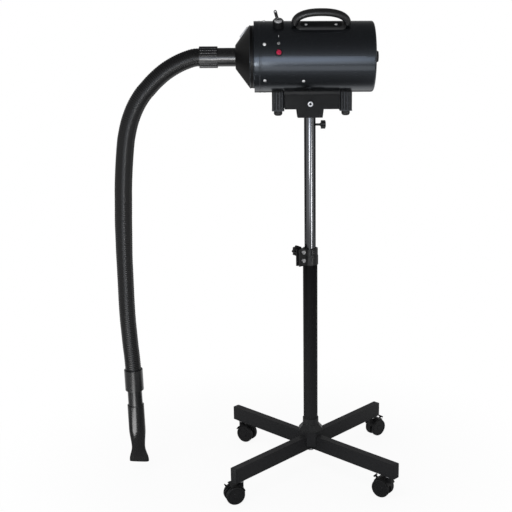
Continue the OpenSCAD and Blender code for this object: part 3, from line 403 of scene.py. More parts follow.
def finish_of(name, color, roughness, variation=0.08, grain=900.0, depth=0.02, specular=0.3,
              dust=0.06, metallic=0.0, tint=None, coat=0.0, distance=0.0004,
              edge=1.0, rim_at=(0.20, 0.60), low=None):
    """A procedural finish: colour with dust, uneven roughness and fine grain.

    depth and distance are the strength and the height of the grain.
    edge is the share of the colour that is left where the surface turns away: painted shade
    that darkens the colour towards the outline. rim_at says between which shares of turning away
    it fades.
    low is a lighter colour near the floor, painted light from the floor, with the heights between
    which it gives way.
    """
    material = bpy.data.materials.new(name)
    material.use_nodes = True
    material.diffuse_color = (*color, 1)
    tree = material.node_tree
    shader = tree.nodes["Principled BSDF"]
    shader.inputs["Metallic"].default_value = metallic
    shader.inputs["Specular IOR Level"].default_value = specular
    if tint:
        shader.inputs["Specular Tint"].default_value = (*tint, 1)
    if coat:
        shader.inputs["Coat Weight"].default_value = coat
        shader.inputs["Coat Roughness"].default_value = COAT_ROUGHNESS
    place = add(tree, "ShaderNodeTexCoord")
    mottle = add(tree, "ShaderNodeTexNoise", {
        "Vector": place.outputs["Object"], "Scale": 9.0, "Detail": 4.0, "Roughness": 0.6})
    shade = blend_of(tree, mottle.outputs["Fac"], (*[c * (1 - MOTTLE) for c in color], 1),
                     (*[min(1, c * (1 + MOTTLE)) for c in color], 1))
    dusty = add(tree, "ShaderNodeGroup", node_tree=DUST)
    tree.links.new(shade.outputs[MIXED], dusty.inputs["Color"])
    # Painted light: a lighter colour near the floor, which stands in for light thrown up by the
    # floor
    if low:
        floor_light_color, low_from, low_to = low
        axes = add(tree, "ShaderNodeSeparateXYZ", {0: place.outputs["Object"]})
        rise = ramp(tree, axes.outputs["Z"], (low_from, low_to), (0.0, 1.0))
        floor_lit = blend_of(tree, rise.outputs[0], (*floor_light_color, 1), shade.outputs[MIXED])
        tree.links.new(floor_lit.outputs[MIXED], dusty.inputs["Color"])
    dusty.inputs["Amount"].default_value = dust
    tree.links.new(dusty.outputs["Color"], shader.inputs["Base Color"])
    # Painted shade: the colour darkens towards the outline, and the reflection is dimmed by the
    # same share
    if edge < 1:
        facing = add(tree, "ShaderNodeLayerWeight", {"Blend": 0.5})
        rim = ramp(tree, facing.outputs["Facing"], rim_at, (1.0, edge))
        painted_rim_shade = blend_of(tree, rim.outputs[0], (0, 0, 0, 1), dusty.outputs["Color"])
        tree.links.new(painted_rim_shade.outputs[MIXED], shader.inputs["Base Color"])
        shader.inputs["Specular Tint"].default_value = (edge, edge, edge, 1)
    grained = add(tree, "ShaderNodeGroup", node_tree=GRAIN)
    grained.inputs["Grain Scale"].default_value = grain
    grained.inputs["Sweep Scale"].default_value = SWEEP_SCALE
    grained.inputs["Roughness"].default_value = roughness
    grained.inputs["Variation"].default_value = variation
    tree.links.new(grained.outputs["Roughness"], shader.inputs["Roughness"])
    bump = add(tree, "ShaderNodeBump", {
        "Height": grained.outputs["Height"], "Strength": depth, "Distance": distance})
    tree.links.new(bump.outputs["Normal"], shader.inputs["Normal"])
    return material


# An edge below 1 paints shade towards the outline of the piece
LOOKS = {
    "powder_black": dict(
        color=(0.0060, 0.0061, 0.0066), roughness=0.48, grain=700, depth=0.20, specular=0.22),
    # Painted light: the arms and the hub are lighter copies of the black, for their faces that
    # look up and catch the light
    "arm_black": dict(
        color=(0.0190, 0.0192, 0.0205), roughness=0.45, grain=700, depth=0.20, specular=0.25),
    "hub_black": dict(
        color=(0.0170, 0.0176, 0.0180), roughness=0.34, grain=900, depth=0.08, specular=0.60,
        dust=0.02),
    # The column's lighter colour near the floor is painted light
    "column_black": dict(
        color=(0.0010, 0.0010, 0.0012), roughness=0.48, grain=700, depth=0.20, specular=0.10,
        low=((0.0200, 0.0200, 0.0208), 0.12, 0.62)),
    "housing_black": dict(
        color=(0.0042, 0.0045, 0.0050), roughness=0.20, grain=1100, depth=0.06, specular=1.0,
        coat=0.55, dust=0.02, tint=(0.72, 0.84, 1.0)),
    "cone_black": dict(
        color=(0.0012, 0.0012, 0.0014), roughness=0.40, grain=1100, depth=0.08,
        specular=0.34, dust=0.0),
    "moulded_black": dict(
        color=(0.0060, 0.0060, 0.0066), roughness=0.30, grain=1500, depth=0.08,
        specular=0.50),
    "grip_black": dict(
        color=(0.0075, 0.0075, 0.0080), roughness=0.30, grain=1500, depth=0.05,
        specular=0.75),
    "foot_black": dict(
        color=(0.0045, 0.0045, 0.0050), roughness=0.18, grain=1500, depth=0.03,
        specular=0.38, coat=0.12, dust=0.02),
    "duct_black": dict(
        color=(0.0045, 0.0047, 0.0052), roughness=0.26, grain=1600, depth=0.04, specular=1.0,
        coat=0.6, dust=0.02),
    "guide_black": dict(
        color=(0.0300, 0.0300, 0.0300), roughness=0.55, specular=0.3),
    "wheel_black": dict(
        color=(0.0120, 0.0120, 0.0128), roughness=0.42, specular=0.35, dust=0.05),
    "pole_chrome": dict(
        color=(0.17, 0.173, 0.182), roughness=0.11, variation=0.05, grain=420, depth=0.02,
        metallic=1.0, dust=0.0, edge=0.35),
    "switch_chrome": dict(
        color=(0.72, 0.72, 0.73), roughness=0.18, variation=0.05, metallic=0.7, dust=0.0,
        edge=0.10),
    "lever_chrome": dict(
        color=(0.80, 0.80, 0.81), roughness=0.20, variation=0.05, metallic=0.25, dust=0.0,
        edge=0.02, rim_at=(0.04, 0.22)),
    # Painted light: the saddle is a lighter copy of the moulded black, for its lit lip and ends
    "saddle_painted_light": dict(
        color=(0.0240, 0.0240, 0.0245), roughness=0.34, grain=1500, depth=0.05, specular=0.8),
    "zinc_steel": dict(
        color=(0.62, 0.62, 0.63), roughness=0.30, variation=0.12, metallic=0.6, dust=0.0,
        depth=0.08, edge=0.25),
    "screw_zinc": dict(
        color=(0.92, 0.92, 0.93), roughness=0.30, variation=0.05, metallic=0.15,
        specular=0.9, dust=0.0, depth=0.04, edge=0.30, rim_at=(0.10, 0.45)),
    "rubber_black": dict(
        color=(0.0140, 0.0140, 0.0145), roughness=0.55, depth=0.3, specular=0.5, dust=0.12),
    "hose_black": dict(
        color=(0.0040, 0.0040, 0.0045), roughness=0.27, grain=1200, depth=0.06,
        specular=0.62, dust=0.02),
    "reset_red": dict(
        color=(0.36, 0.010, 0.045), roughness=0.28, specular=0.5, dust=0.0, edge=0.5),
    "filter_foam": dict(
        color=(0.0300, 0.0300, 0.0320), roughness=0.95, grain=600, depth=1.0, specular=0.1,
        distance=0.001),
    "motor_metal": dict(
        color=(0.42, 0.42, 0.43), roughness=0.38, metallic=1.0, specular=0.5, dust=0.1),
    "bare_metal": dict(
        color=(0.70, 0.70, 0.71), roughness=0.30, metallic=0.6, specular=0.5, dust=0.0,
        depth=0.05),
    "mark_white": dict(
        color=(0.42, 0.42, 0.42), roughness=0.50, specular=0.3, dust=0.0),
}
FINISHES = {name: finish_of(name, **look) for name, look in LOOKS.items()}


def at_corners(start):
    return [start + "_" + corner for corner in CORNERS]


MADE_OF = {
    "powder_black": ARMS + ["column_tube", "head_bracket", "pole_head"],
    "housing_black": ["housing_shell", "front_cap", "outlet_cone", "rear_cap"],
    "moulded_black": [
        "arm_end_caps", "hub_block", "hub_cover", "height_clamp", "clamp_knob", "thumb_screw",
        "rear_knob", "handle_grip", "handle_base", "control_collars", "power_inlet", "feet",
        *at_corners("castor_frame"), *at_corners("castor_brake")],
    "duct_black": ["outlet_pipe", "upper_cuff", "lower_cuff", "nozzle"],
    "guide_black": ["column_bush", "pole_glide"],
    "wheel_black": at_corners("castor_wheels"),
    "pole_chrome": ["inner_pole"],
    "switch_chrome": ["switch_body", "switch_lever"],
    "zinc_steel": ["column_plug", "base_bolt", "clamp_bolt", "clamp_screw", "castor_stems",
                   "tilt_bolt", "case_screws"],
    "rubber_black": ["bracket_pad", "foot_tips"],
    "hose_black": ["hose"],
    "reset_red": ["reset_button"],
    "filter_foam": ["intake_filter"],
    "motor_metal": ["motor_body", "fan_shell", "blower_wheel"],
}
slot_of_node = {node: slot for slot, members in MADE_OF.items() for node in members}

for node, slot in slot_of_node.items():
    materials = nodes[node].data.materials
    materials.clear()
    materials.append(FINISHES[slot])

# ---------------------------------------------------------------- shaped copies

SAME_POINT = 3e-6                   # points this close together are one point
FLAT_ANGLE = math.radians(0.6)      # faces this little apart are one face


def clean_copy(node, flatten=True):
    """A merged copy of a node's mesh, without the seams of its triangles."""
    piece = bpy.data.objects.new(node + "_shaped", nodes[node].data.copy())
    scene.collection.objects.link(piece)
    activate(piece)
    bpy.ops.mesh.customdata_custom_splitnormals_clear()
    bpy.ops.object.mode_set(mode="EDIT")
    bpy.ops.mesh.select_all(action="SELECT")
    bpy.ops.mesh.remove_doubles(threshold=SAME_POINT)
    if flatten:
        bpy.ops.mesh.dissolve_limited(angle_limit=FLAT_ANGLE)
    bpy.ops.object.mode_set(mode="OBJECT")
    return piece


def cut_across(piece, places):
    """Cuts all faces at places along X, so that a hole disturbs only its own stretch."""
    activate(piece)
    for x in places:
        bpy.ops.object.mode_set(mode="EDIT")
        bpy.ops.mesh.select_all(action="SELECT")
        bpy.ops.mesh.bisect(plane_co=(x * MM, 0, AXIS_Z), plane_no=(1, 0, 0))
        bpy.ops.object.mode_set(mode="OBJECT")
    return piece


# Nodes whose finish differs from that of the others of their material. The arms, the hub and the
# saddle get lighter copies as painted light, and the column a colour that lightens towards the
# floor as painted light.
OWN_FINISH = {
    "outlet_cone": "cone_black", "feet": "foot_black", "handle_grip": "grip_black",
    "handle_base": "saddle_painted_light", "control_collars": "powder_black",
    "hub_cover": "hub_black", "column_tube": "column_black",
    **dict.fromkeys(ARMS + ["hub_block", "arm_end_caps"], "arm_black"),
}


def finished(piece, node):
    """Makes the piece stand for a node, with the node's body and finish."""
    return dress(piece, body_of_node[node], slot_of_node[node], [node], OWN_FINISH.get(node))


# Segments of a rounded edge, and the angle from which an edge counts as sharp
PLAIN_EDGE = (2, 34)


def rolled(node, width):
    """A copy of a node with its sharp edges rounded, which stands for it."""
    return finished(rounded(clean_copy(node), width, *PLAIN_EDGE), node)


# ---------------------------------------------------------------- hose

# Smooth land of the upper cuff, in millimetres: its edges are measured from the axis
LAND_R = 27.05
LAND_INSIDE_R = 25.6
LAND_LOW = -9.0
LAND_HIGH = 0.3
LAND_MARGIN = 2.5       # to the ends of the cuff

# Height at which the lower cuff is cut, in millimetres
LOWER_CUFF_CUT = 242


def cuff_with_land():
    """The ribbed upper cuff with a smooth land along its front."""
    cuff = rounded(clean_copy("upper_cuff"), 0.5, *PLAIN_EDGE)
    start, end = span("upper_cuff", X)
    land = lengthwise("land", LAND_R, start + LAND_MARGIN, end - LAND_MARGIN, 192)
    combine(land, lengthwise("core", LAND_INSIDE_R, -300, -200, 96), "DIFFERENCE")
    combine(land, block("front", (-290, -40, LAND_LOW), (-220, -15, LAND_HIGH)), "INTERSECT")
    moved(land, (0, 0, AXIS_Z))
    smooth(land, 38)
    return finished(join("upper_cuff_shaped", [cuff, land]), "upper_cuff")


def trimmed_cuff():
    """The lower cuff, cut a little shorter at its lower end."""
    cuff = clean_copy("lower_cuff")
    combine(cuff, block("trim", (-560, -60, 200), (-400, 60, LOWER_CUFF_CUT)), "DIFFERENCE")
    return finished(rounded(cuff, 0.6, *PLAIN_EDGE), "lower_cuff")


HOSE_ENDS = [cuff_with_land(), trimmed_cuff()]
finished(rounded(clean_copy("nozzle", False), 0.4, 2, 40), "nozzle")

# Middle line of the hose, from the upper cuff down to the lower cuff
HOSE_ROUTE = [
    (-0.2795, 0, 1.132), (-0.293, 0, 1.131), (-0.307, 0, 1.127), (-0.323, 0, 1.121),
    (-0.338, 0, 1.114), (-0.354, 0, 1.105), (-0.369, 0, 1.095), (-0.385, 0, 1.082),
    (-0.4, 0, 1.068), (-0.412, 0, 1.055), (-0.424, 0, 1.042), (-0.438, 0, 1.022),
    (-0.449, 0, 1.002), (-0.458, 0, 0.981), (-0.465, 0, 0.960), (-0.47, 0, 0.940),
    (-0.474, 0, 0.920), (-0.479, 0, 0.880), (-0.483, 0, 0.840), (-0.486, 0, 0.800),
    (-0.488, 0, 0.755), (-0.49, 0, 0.710), (-0.491, 0, 0.665), (-0.492, 0, 0.620),
    (-0.492, 0, 0.575), (-0.492, 0, 0.530), (-0.492, 0, 0.485), (-0.491, 0, 0.440),
    (-0.489, 0, 0.400), (-0.487, 0, 0.365), (-0.485, 0, 0.340), (-0.484, 0, 0.320),
    (-0.483, 0, 0.300),
]
HANGING_R = 0.0215          # over the ribs, where the hose hangs straight
BENT_R = 0.0228             # over the ribs, in the bend and up to the upper cuff
HANGS_FROM = (0.60, 0.70)   # heights between which one radius gives way to the other
RIB_PITCH = 0.0052
RIB_DEPTH = 0.0008
RINGS_PER_RIB = 4
HOSE_SIDES = 40


def smooth_route(points, steps):
    """Points on one smooth curve through the route."""
    knots = [Vector(p) for p in points]
    ends = [2 * knots[0] - knots[1]] + knots + [2 * knots[-1] - knots[-2]]
    curve = []
    for i in range(1, len(ends) - 2):
        a, b, c, d = ends[i - 1:i + 3]
        for k in range(steps):
            t = k / steps
            curve.append(0.5 * (2 * b + (c - a) * t + (2 * a - 5 * b + 4 * c - d) * t ** 2
                                + (3 * b - a - 3 * c + d) * t ** 3))
    curve.append(knots[-1])
    return curve


def even_steps(curve, step):
    """The same curve with points a fixed length apart, and that length."""
    lengths = [0.0]
    for a, b in zip(curve, curve[1:]):
        lengths.append(lengths[-1] + (b - a).length)
    total = lengths[-1]
    count = round(total / step)
    points, i = [], 0
    for k in range(count + 1):
        want = total * k / count
        while i < len(curve) - 2 and lengths[i + 1] < want:
            i += 1
        share = (want - lengths[i]) / (lengths[i + 1] - lengths[i])
        points.append(curve[i].lerp(curve[i + 1], min(1, share)))
    return points, total


def hose_radius(z):
    """The hose is drawn out a little thinner where it hangs straight."""
    low, high = HANGS_FROM
    share = min(1, max(0, (z - low) / (high - low)))
    return HANGING_R + (BENT_R - HANGING_R) * share


def ribbed_hose():
    """One ribbed tube along the route, closed at both ends."""
    middle, total = even_steps(smooth_route(HOSE_ROUTE, 12), RIB_PITCH / RINGS_PER_RIB)
    last = len(middle) - 1
    side = Vector((0, 1, 0))
    vertices, faces = [], []
    for i, point in enumerate(middle):
        ahead = (middle[min(i + 1, last)] - middle[max(i - 1, 0)]).normalized()
        out = ahead.cross(side)
        phase = math.cos(2 * math.pi * i / RINGS_PER_RIB)
        radius = hose_radius(point.z) - RIB_DEPTH * (0.5 - 0.5 * phase)
        for k in range(HOSE_SIDES):
            turn = 2 * math.pi * k / HOSE_SIDES
            vertices.append(point + radius * (math.cos(turn) * side + math.sin(turn) * out))
    for i in range(last):
        for k in range(HOSE_SIDES):
            a, b = i * HOSE_SIDES, (i + 1) * HOSE_SIDES
            n = (k + 1) % HOSE_SIDES
            faces.append((a + k, a + n, b + n, b + k))
    faces.append(tuple(range(HOSE_SIDES))[::-1])
    faces.append(tuple(last * HOSE_SIDES + k for k in range(HOSE_SIDES)))
    mesh = bpy.data.meshes.new("ribbed_hose")
    mesh.from_pydata(vertices, [], faces)
    piece = bpy.data.objects.new("ribbed_hose", mesh)
    scene.collection.objects.link(piece)
    activate(piece)
    bpy.ops.object.mode_set(mode="EDIT")
    bpy.ops.mesh.select_all(action="SELECT")
    bpy.ops.mesh.normals_make_consistent(inside=False)
    bpy.ops.object.mode_set(mode="OBJECT")
    smooth(piece, 60)
    dress(piece, "head", "hose_black", ["hose"])


ribbed_hose()

# ---------------------------------------------------------------- rolled edges

# Width of the rounding on the edges of each plain node, in millimetres
EDGE_ROUNDING = {
    **dict.fromkeys(ARMS, 1.6),
    "arm_end_caps": 1.0, "hub_block": 1.5, "hub_cover": 0.9, "column_tube": 0.4,
    "height_clamp": 0.8, "clamp_knob": 0.8, "thumb_screw": 0.7, "pole_head": 1.0,
    "head_bracket": 0.8, "bracket_pad": 0.5, "control_collars": 0.8,
    "front_cap": 0.9, "rear_cap": 0.5, "outlet_cone": 0.8,
    "outlet_pipe": 0.5, "rear_knob": 0.7, "feet": 0.3,
    "power_inlet": 0.6, "switch_body": 0.5, "inner_pole": 0.4,
}
for corner in CORNERS:
    EDGE_ROUNDING["castor_frame_" + corner] = 0.6
    EDGE_ROUNDING["castor_brake_" + corner] = 0.6
    EDGE_ROUNDING["castor_wheels_" + corner] = 0.3

for node, width in EDGE_ROUNDING.items():
    rolled(node, width)

# ---------------------------------------------------------------- housing

# Places along the drum beside the shell's holes, and the beads with their radii, in millimetres
SHELL_CUTS = (-118, -112, -92, -69, -52, -39, -24, -7, 50, 70, 110, 132)
BEADS = ((-151.5, 77.6), (-143.0, 77.6), (-127.5, 88.7))
BEAD_R = 1.2


def shape_housing():
    """The shell with rounded edges. The cuts keep its faces even beside the holes."""
    shell = cut_across(clean_copy("housing_shell"), SHELL_CUTS)
    finished(rounded(shell, 0.3, *PLAIN_EDGE), "housing_shell")


def round_beads():
    """Rolled beads on the neck and beside the seam of the front cap."""
    beads = [on_housing(turned(ring("bead", radius, BEAD_R, (160, 16)), 90, "Y"), x)
             for x, radius in BEADS]
    beads = join("housing_beads", beads)
    smooth(beads, 60)
    dress(beads, "head", "housing_black")


# Plate on the cone, in millimetres: half its length and width, its two faces from the
# cone's own, and its place along the drum and out from the axis
PLATE_HALF_LENGTH = 16
PLATE_HALF_WIDTH = 12
PLATE_SUNK = 1.6
PLATE_PROUD = 2.4
PLATE_X = -165.5
PLATE_OUT = 61.2
PLATE_TURN = math.radians(-3)
CONE_SLOPE = math.atan2(46.5, 36)   # it narrows by the first over the second


def bare_plate():
    """Plain metal plate on the cone, on top."""
    plate = block("cone_plate", (-PLATE_HALF_LENGTH, -PLATE_HALF_WIDTH, -PLATE_SUNK),
                  (PLATE_HALF_LENGTH, PLATE_HALF_WIDTH, PLATE_PROUD))
    rounded(plate, 0.6, 3)
    plate.matrix_world = (
        Matrix.Translation((PLATE_X * MM, 0, AXIS_Z)) @ Matrix.Rotation(PLATE_TURN, 4, "X")
        @ Matrix.Translation((0, 0, PLATE_OUT * MM)) @ Matrix.Rotation(-CONE_SLOPE, 4, "Y"))
    settle(plate)
    dress(plate, "head", "bare_metal")


# ---------------------------------------------------------------- screws

# Pan head with its cross recess, in millimetres
PAN_R = 4.0
PAN_RIM = 0.8           # height of its straight side
PAN_DOME = 0.42         # height of the dome as a share of its radius
CROSS_HALF_LENGTH = 2.4
CROSS_HALF_WIDTH = 0.5
CROSS_FLOOR = 1.1


def pan_head():
    """A pan head with a cross recess, on a short shank."""
    head = tapered("pan_head", PAN_R, PAN_R, -1.6, PAN_RIM, 40)
    combine(head, ball("dome", PAN_R, PAN_RIM - 0.05, PAN_DOME), "UNION")
    combine(head, tapered("shank", 1.9, 1.6, -7.0, -1.0, 24), "UNION")
    for turn in (0, 90):
        slot = block("slot", (-CROSS_HALF_LENGTH, -CROSS_HALF_WIDTH, CROSS_FLOOR),
                     (CROSS_HALF_LENGTH, CROSS_HALF_WIDTH, PAN_R))
        combine(head, turned(slot, turn, "Z"), "DIFFERENCE")
    return rounded(head, 0.12, 2)


# Screws: place along the drum, turn from the handle in degrees, height over the shell
CAP_SCREWS = [(SEAM_X - 2, 38 - 60 * i, 0) for i in range(6)]
SIDE_SCREWS = [(-19, 99.4, 0), (-19, -80.6, 0)]
HANDLE_SCREWS = [(HANDLE_X + side * 37.5, 0, 3.7) for side in (-1, 1)]

# The cross recesses point in different directions, in degrees
FIRST_CROSS = 21
NEXT_CROSS = 37

# Bolts of the bracket: distance from its middle, then radius, heights and sides of each part
BOLT_REACH = 51.25
BOLT_PARTS = ((5.8, 1032, 1036, 6), (3.0, 1035, 1051, 32), (5.8, 1045.2, 1049.7, 6))


def fit_screws():
    """All screws of the drum, each with its recess turned another way, and the bracket's bolts."""
    head = pan_head()
    screws = []
    for i, (x, angle, lift) in enumerate(CAP_SCREWS + SIDE_SCREWS + HANDLE_SCREWS):
        screw = turned(twin(head, "screw"), FIRST_CROSS + NEXT_CROSS * i, "Z")
        screws.append(on_housing(screw, x, angle, HOUSING_R + lift * MM))
    bpy.data.objects.remove(head)
    for x in (BRACKET_X + BOLT_REACH, BRACKET_X - BOLT_REACH):
        for radius, z0, z1, sides in BOLT_PARTS:
            part = moved(tapered("hex", radius, radius, z0, z1, sides), (x * MM, 0, 0))
            screws.append(rounded(part, 0.4, 2))
    dress(join("screws", screws), "head", "zinc_steel", ["case_screws"], "screw_zinc")


# Socket head of the tilt bolt, in millimetres, with its places from the pole to the front
SOCKET_HEAD_R = 6.9
SOCKET_HEAD_BACK = 21.1
SOCKET_HEAD_FRONT = 32.6
SOCKET_R = 3.4
SOCKET_BOTTOM = 28
SHANK_END = 21.05


def dress_tilt_bolt():
    """The bolt with a socket head in front of the bracket, and a dark disc of painted shade at the
    bottom of the socket.
    """
    bolt = clean_copy("tilt_bolt")
    combine(bolt, block("front", (-20, -60, 980), (20, -SHANK_END, 1060)), "DIFFERENCE")
    rounded(bolt, 0.5, *PLAIN_EDGE)
    head = tapered("head", SOCKET_HEAD_R, SOCKET_HEAD_R, SOCKET_HEAD_BACK, SOCKET_HEAD_FRONT, 64)
    combine(head, tapered("socket", SOCKET_R, SOCKET_R, SOCKET_BOTTOM, 40, 6), "DIFFERENCE")
    rounded(head, 0.9, 3, 50)
    # Painted shade: a dark disc inside the socket, where shadow falls
    floor = tapered("socket_painted_shade", SOCKET_R - 0.1, SOCKET_R - 0.1,
                    SOCKET_BOTTOM - 0.4, SOCKET_BOTTOM + 1.5, 6)
    for part in (head, floor):
        moved(turned(part, 90, "X"), (0, 0, TILT_BOLT_Z))
    finished(join("bolt", [bolt, head]), "tilt_bolt")
    dress(floor, body_of_node["tilt_bolt"], "powder_black")


# ---------------------------------------------------------------- controls

# Turns from the handle towards the front, in degrees
ON_MARK_TURN = 23.5
OFF_MARK_TURN = 36.2
RESET_TURN = 51

# Heights over the shell, in millimetres
NUT_LIFT = 15.4
LEVER_LIFT = 12
MARK_SUNK = -0.3
MARK_PROUD = 0.15

# Radii of the controls, in millimetres
RESET_R = 6.2
NUT_R = 11.6
NUT_BORE_R = 6.1
STEM_R = (2.8, 3.0)         # of the lever, at its ball and where it swells
BAT_R = (3.8, 4.0)          # of the lever, after the swell and at its tip
LEVER_BALL_R = 3.7
OFF_RING_R = 2.6

NUT_FLAT = 0.36             # height of the nut's dome as a share of its radius
LEVER_LENGTH = 28.6
LEVER_LEAN = -15            # degrees from upright, towards the outlet
OFF_RING_LINE = 0.45
ON_BAR_HALF = (0.5, 2.5)    # half its width and length


def dress_reset():
    """The reset cap, which is a little narrower than its collar's rim."""
    limit = tapered("limit", RESET_R, RESET_R, -40, 40, 96)
    on_housing(limit, SWITCH_X, RESET_TURN, HOUSING_R)
    cap = combine(clean_copy("reset_button"), limit, "INTERSECT")
    finished(rounded(cap, 0.3, *PLAIN_EDGE), "reset_button")


def dress_switch():
    """Domed ring nut round the lever."""
    nut = ball("domed_nut", NUT_R, 0, NUT_FLAT, 64)
    combine(nut, block("below", (-20, -20, -20), (20, 20, 0)), "DIFFERENCE")
    combine(nut, tapered("bore", NUT_BORE_R, NUT_BORE_R, -10, 10, 48), "DIFFERENCE")
    rounded(nut, 0.3, 2)
    on_housing(nut, SWITCH_X, 0, HOUSING_R + NUT_LIFT * MM)
    dress(nut, "head", "switch_chrome")


def shape_lever():
    """Bat lever: thin at its ball, thick at its round tip."""
    lever = tapered("lever", *STEM_R, 0, 7.5, 40)
    swell = tapered("swell", STEM_R[1], BAT_R[0], 7.2, 9.5, 40)
    bat = tapered("bat", *BAT_R, 9.5, LEVER_LENGTH, 40)
    tip = ball("tip", BAT_R[1], LEVER_LENGTH)
    for part in (swell, bat, ball("ball", LEVER_BALL_R), tip):
        combine(lever, part, "UNION")
    smooth(lever, 50)
    on_housing(turned(lever, LEVER_LEAN, "Y"), SWITCH_X, 0, HOUSING_R + LEVER_LIFT * MM)
    dress(lever, "toggle", "switch_chrome", ["switch_lever"], "lever_chrome")


def switch_marks():
    """A bar for on and a ring for off."""
    half_width, half_length = ON_BAR_HALF
    bar = block("bar", (-half_width, -half_length, MARK_SUNK),
                (half_width, half_length, MARK_PROUD))
    on_housing(bar, SWITCH_X, ON_MARK_TURN, HOUSING_R)
    off = ring("ring", OFF_RING_R, OFF_RING_LINE, (48, 8), 0.4)
    on_housing(off, SWITCH_X, OFF_MARK_TURN, HOUSING_R)
    dress(join("switch_marks", [bar, off]), "head", "mark_white")


# ---------------------------------------------------------------- handle

# Grip: grain of its even mesh in millimetres, and how much it is softened
GRIP_VOXEL = 1.0
GRIP_SOFTENING = 0.5
GRIP_ROUNDS = 40

# Recess of the saddle, in millimetres. The floor and the top of the dark sheet of painted shade in
# it are round the axis
RECESS_HALF_LENGTH = 52
RECESS_HALF_WIDTH = 12
RECESS_CORNER = 9.5
RECESS_R = 92.6
RECESS_SHADE_R = 93.0
SADDLE_EDGE = 1.2


def shape_handle():
    """The grip with its soft form, its saddle, and a dark sheet of painted shade in the saddle's
    recess.
    """
    grip = clean_copy("handle_grip")
    remesh = grip.modifiers.new("even", "REMESH")
    remesh.mode = "VOXEL"
    remesh.voxel_size = GRIP_VOXEL * MM
    soften = grip.modifiers.new("soften", "SMOOTH")
    soften.factor = GRIP_SOFTENING
    soften.iterations = GRIP_ROUNDS
    apply_all(grip)
    smooth(grip, 60)
    finished(grip, "handle_grip")

    # Saddle under the grip, with a shallow recess between its ends
    saddle = clean_copy("handle_base")
    recess = block("recess", (HANDLE_X - RECESS_HALF_LENGTH, -RECESS_HALF_WIDTH, 60),
                   (HANDLE_X + RECESS_HALF_LENGTH, RECESS_HALF_WIDTH, 125))
    rounded(recess, RECESS_CORNER, 6)
    combine(recess, lengthwise("floor", RECESS_R, -200, 200, 192), "DIFFERENCE")
    # Painted shade: a dark sheet on the recess floor, where shade falls
    recess_shade = twin(recess, "handle_recess_shade")
    combine(recess_shade, lengthwise("skin", RECESS_SHADE_R, -200, 200, 192), "INTERSECT")
    on_housing(recess_shade, 0)
    smooth(recess_shade, 38)
    dress(recess_shade, "head", "powder_black")
    on_housing(recess, 0)
    combine(saddle, recess, "DIFFERENCE")
    finished(rounded(saddle, SADDLE_EDGE, 3, PLAIN_EDGE[1]), "handle_base")


shape_housing()
round_beads()
bare_plate()
fit_screws()
dress_tilt_bolt()
dress_reset()
dress_switch()
shape_lever()
switch_marks()
shape_handle()

# ---------------------------------------------------------------- studio

WHITE = (1, 1, 1, 1)
MATT_LIGHT = 0.62           # strength of the world's light on matt things

# What mirrors show of the world
ROOM_FRONT = 0.55           # below the horizon, to the front
ROOM_BACK = 0.15            # below the horizon, to the back
ROOM_HORIZON = 0.50         # just above the horizon, more than high up
ROOM_HIGH = 0.035
ROOM_FADE = -3.2            # how fast it falls with the height

FLOOR_R = 3.2
FLOOR_PLACE = (-0.1, 0, -0.0005)
SHADOW_REACH = (0.30, 0.9)  # distances between which the floor turns plain white

# What mirrors show of the floor, with the distances between which it changes
FLOOR_LOW = 0.07            # round the machine
FLOOR_OUTER = 0.30          # farther out
FLOOR_BEHIND = 0.62
FLOOR_FAR_SHARE = 0.2       # of that, far behind
OUTER_REACH = (0.50, 0.95)
BEHIND_REACH = (0.1, 0.5)
FAR_REACH = (1.1, 1.7)


def seen_directly(tree):
    """1 for what the camera, a mirror or glass shows, 0 for light that falls on things."""
    path = add(tree, "ShaderNodeLightPath")
    first = maths(tree, "MAXIMUM", path.outputs["Is Camera Ray"], path.outputs["Is Glossy Ray"])
    both = maths(tree, "MAXIMUM", first.outputs[0], path.outputs["Is Transmission Ray"])
    return path, both.outputs[0]


def make_world():
    """White for the camera, even light for matt things, and a dark room for mirrors."""
    world = bpy.data.worlds.new("studio")
    scene.world = world
    world.use_nodes = True
    tree = world.node_tree
    tree.nodes.clear()
    path, seen = seen_directly(tree)
    place = add(tree, "ShaderNodeTexCoord")
    axes = add(tree, "ShaderNodeSeparateXYZ", {0: place.outputs["Generated"]})
    # In mirrors: below the horizon brighter towards the front, above it fading with the height
    ahead = ramp(tree, axes.outputs["Y"], (-0.5, 0.2), (ROOM_FRONT, ROOM_BACK))
    lift = maths(tree, "MULTIPLY", axes.outputs["Z"], ROOM_FADE)
    decay = maths(tree, "POWER", 2.718, lift.outputs[0])
    above = maths(tree, "MULTIPLY_ADD", decay.outputs[0], ROOM_HORIZON, ROOM_HIGH)
    below = ramp(tree, axes.outputs["Z"], (-0.02, 0.02), (ahead.outputs[0], above.outputs[0]))
    fall = add(tree, "ShaderNodeCombineColor", {
        "Red": below.outputs[0], "Green": below.outputs[0], "Blue": below.outputs[0]})
    mirror = add(tree, "ShaderNodeBackground", {"Color": fall.outputs["Color"], "Strength": 1.0})
    white = add(tree, "ShaderNodeBackground", {"Color": WHITE, "Strength": 1.0})
    light = add(tree, "ShaderNodeBackground", {"Color": WHITE, "Strength": MATT_LIGHT})
    shown = add(tree, "ShaderNodeMixShader", {
        0: path.outputs["Is Camera Ray"], 1: mirror.outputs[0], 2: white.outputs[0]})
    final = add(tree, "ShaderNodeMixShader", {0: seen, 1: light.outputs[0], 2: shown.outputs[0]})
    add(tree, "ShaderNodeOutputWorld", {"Surface": final.outputs[0]})


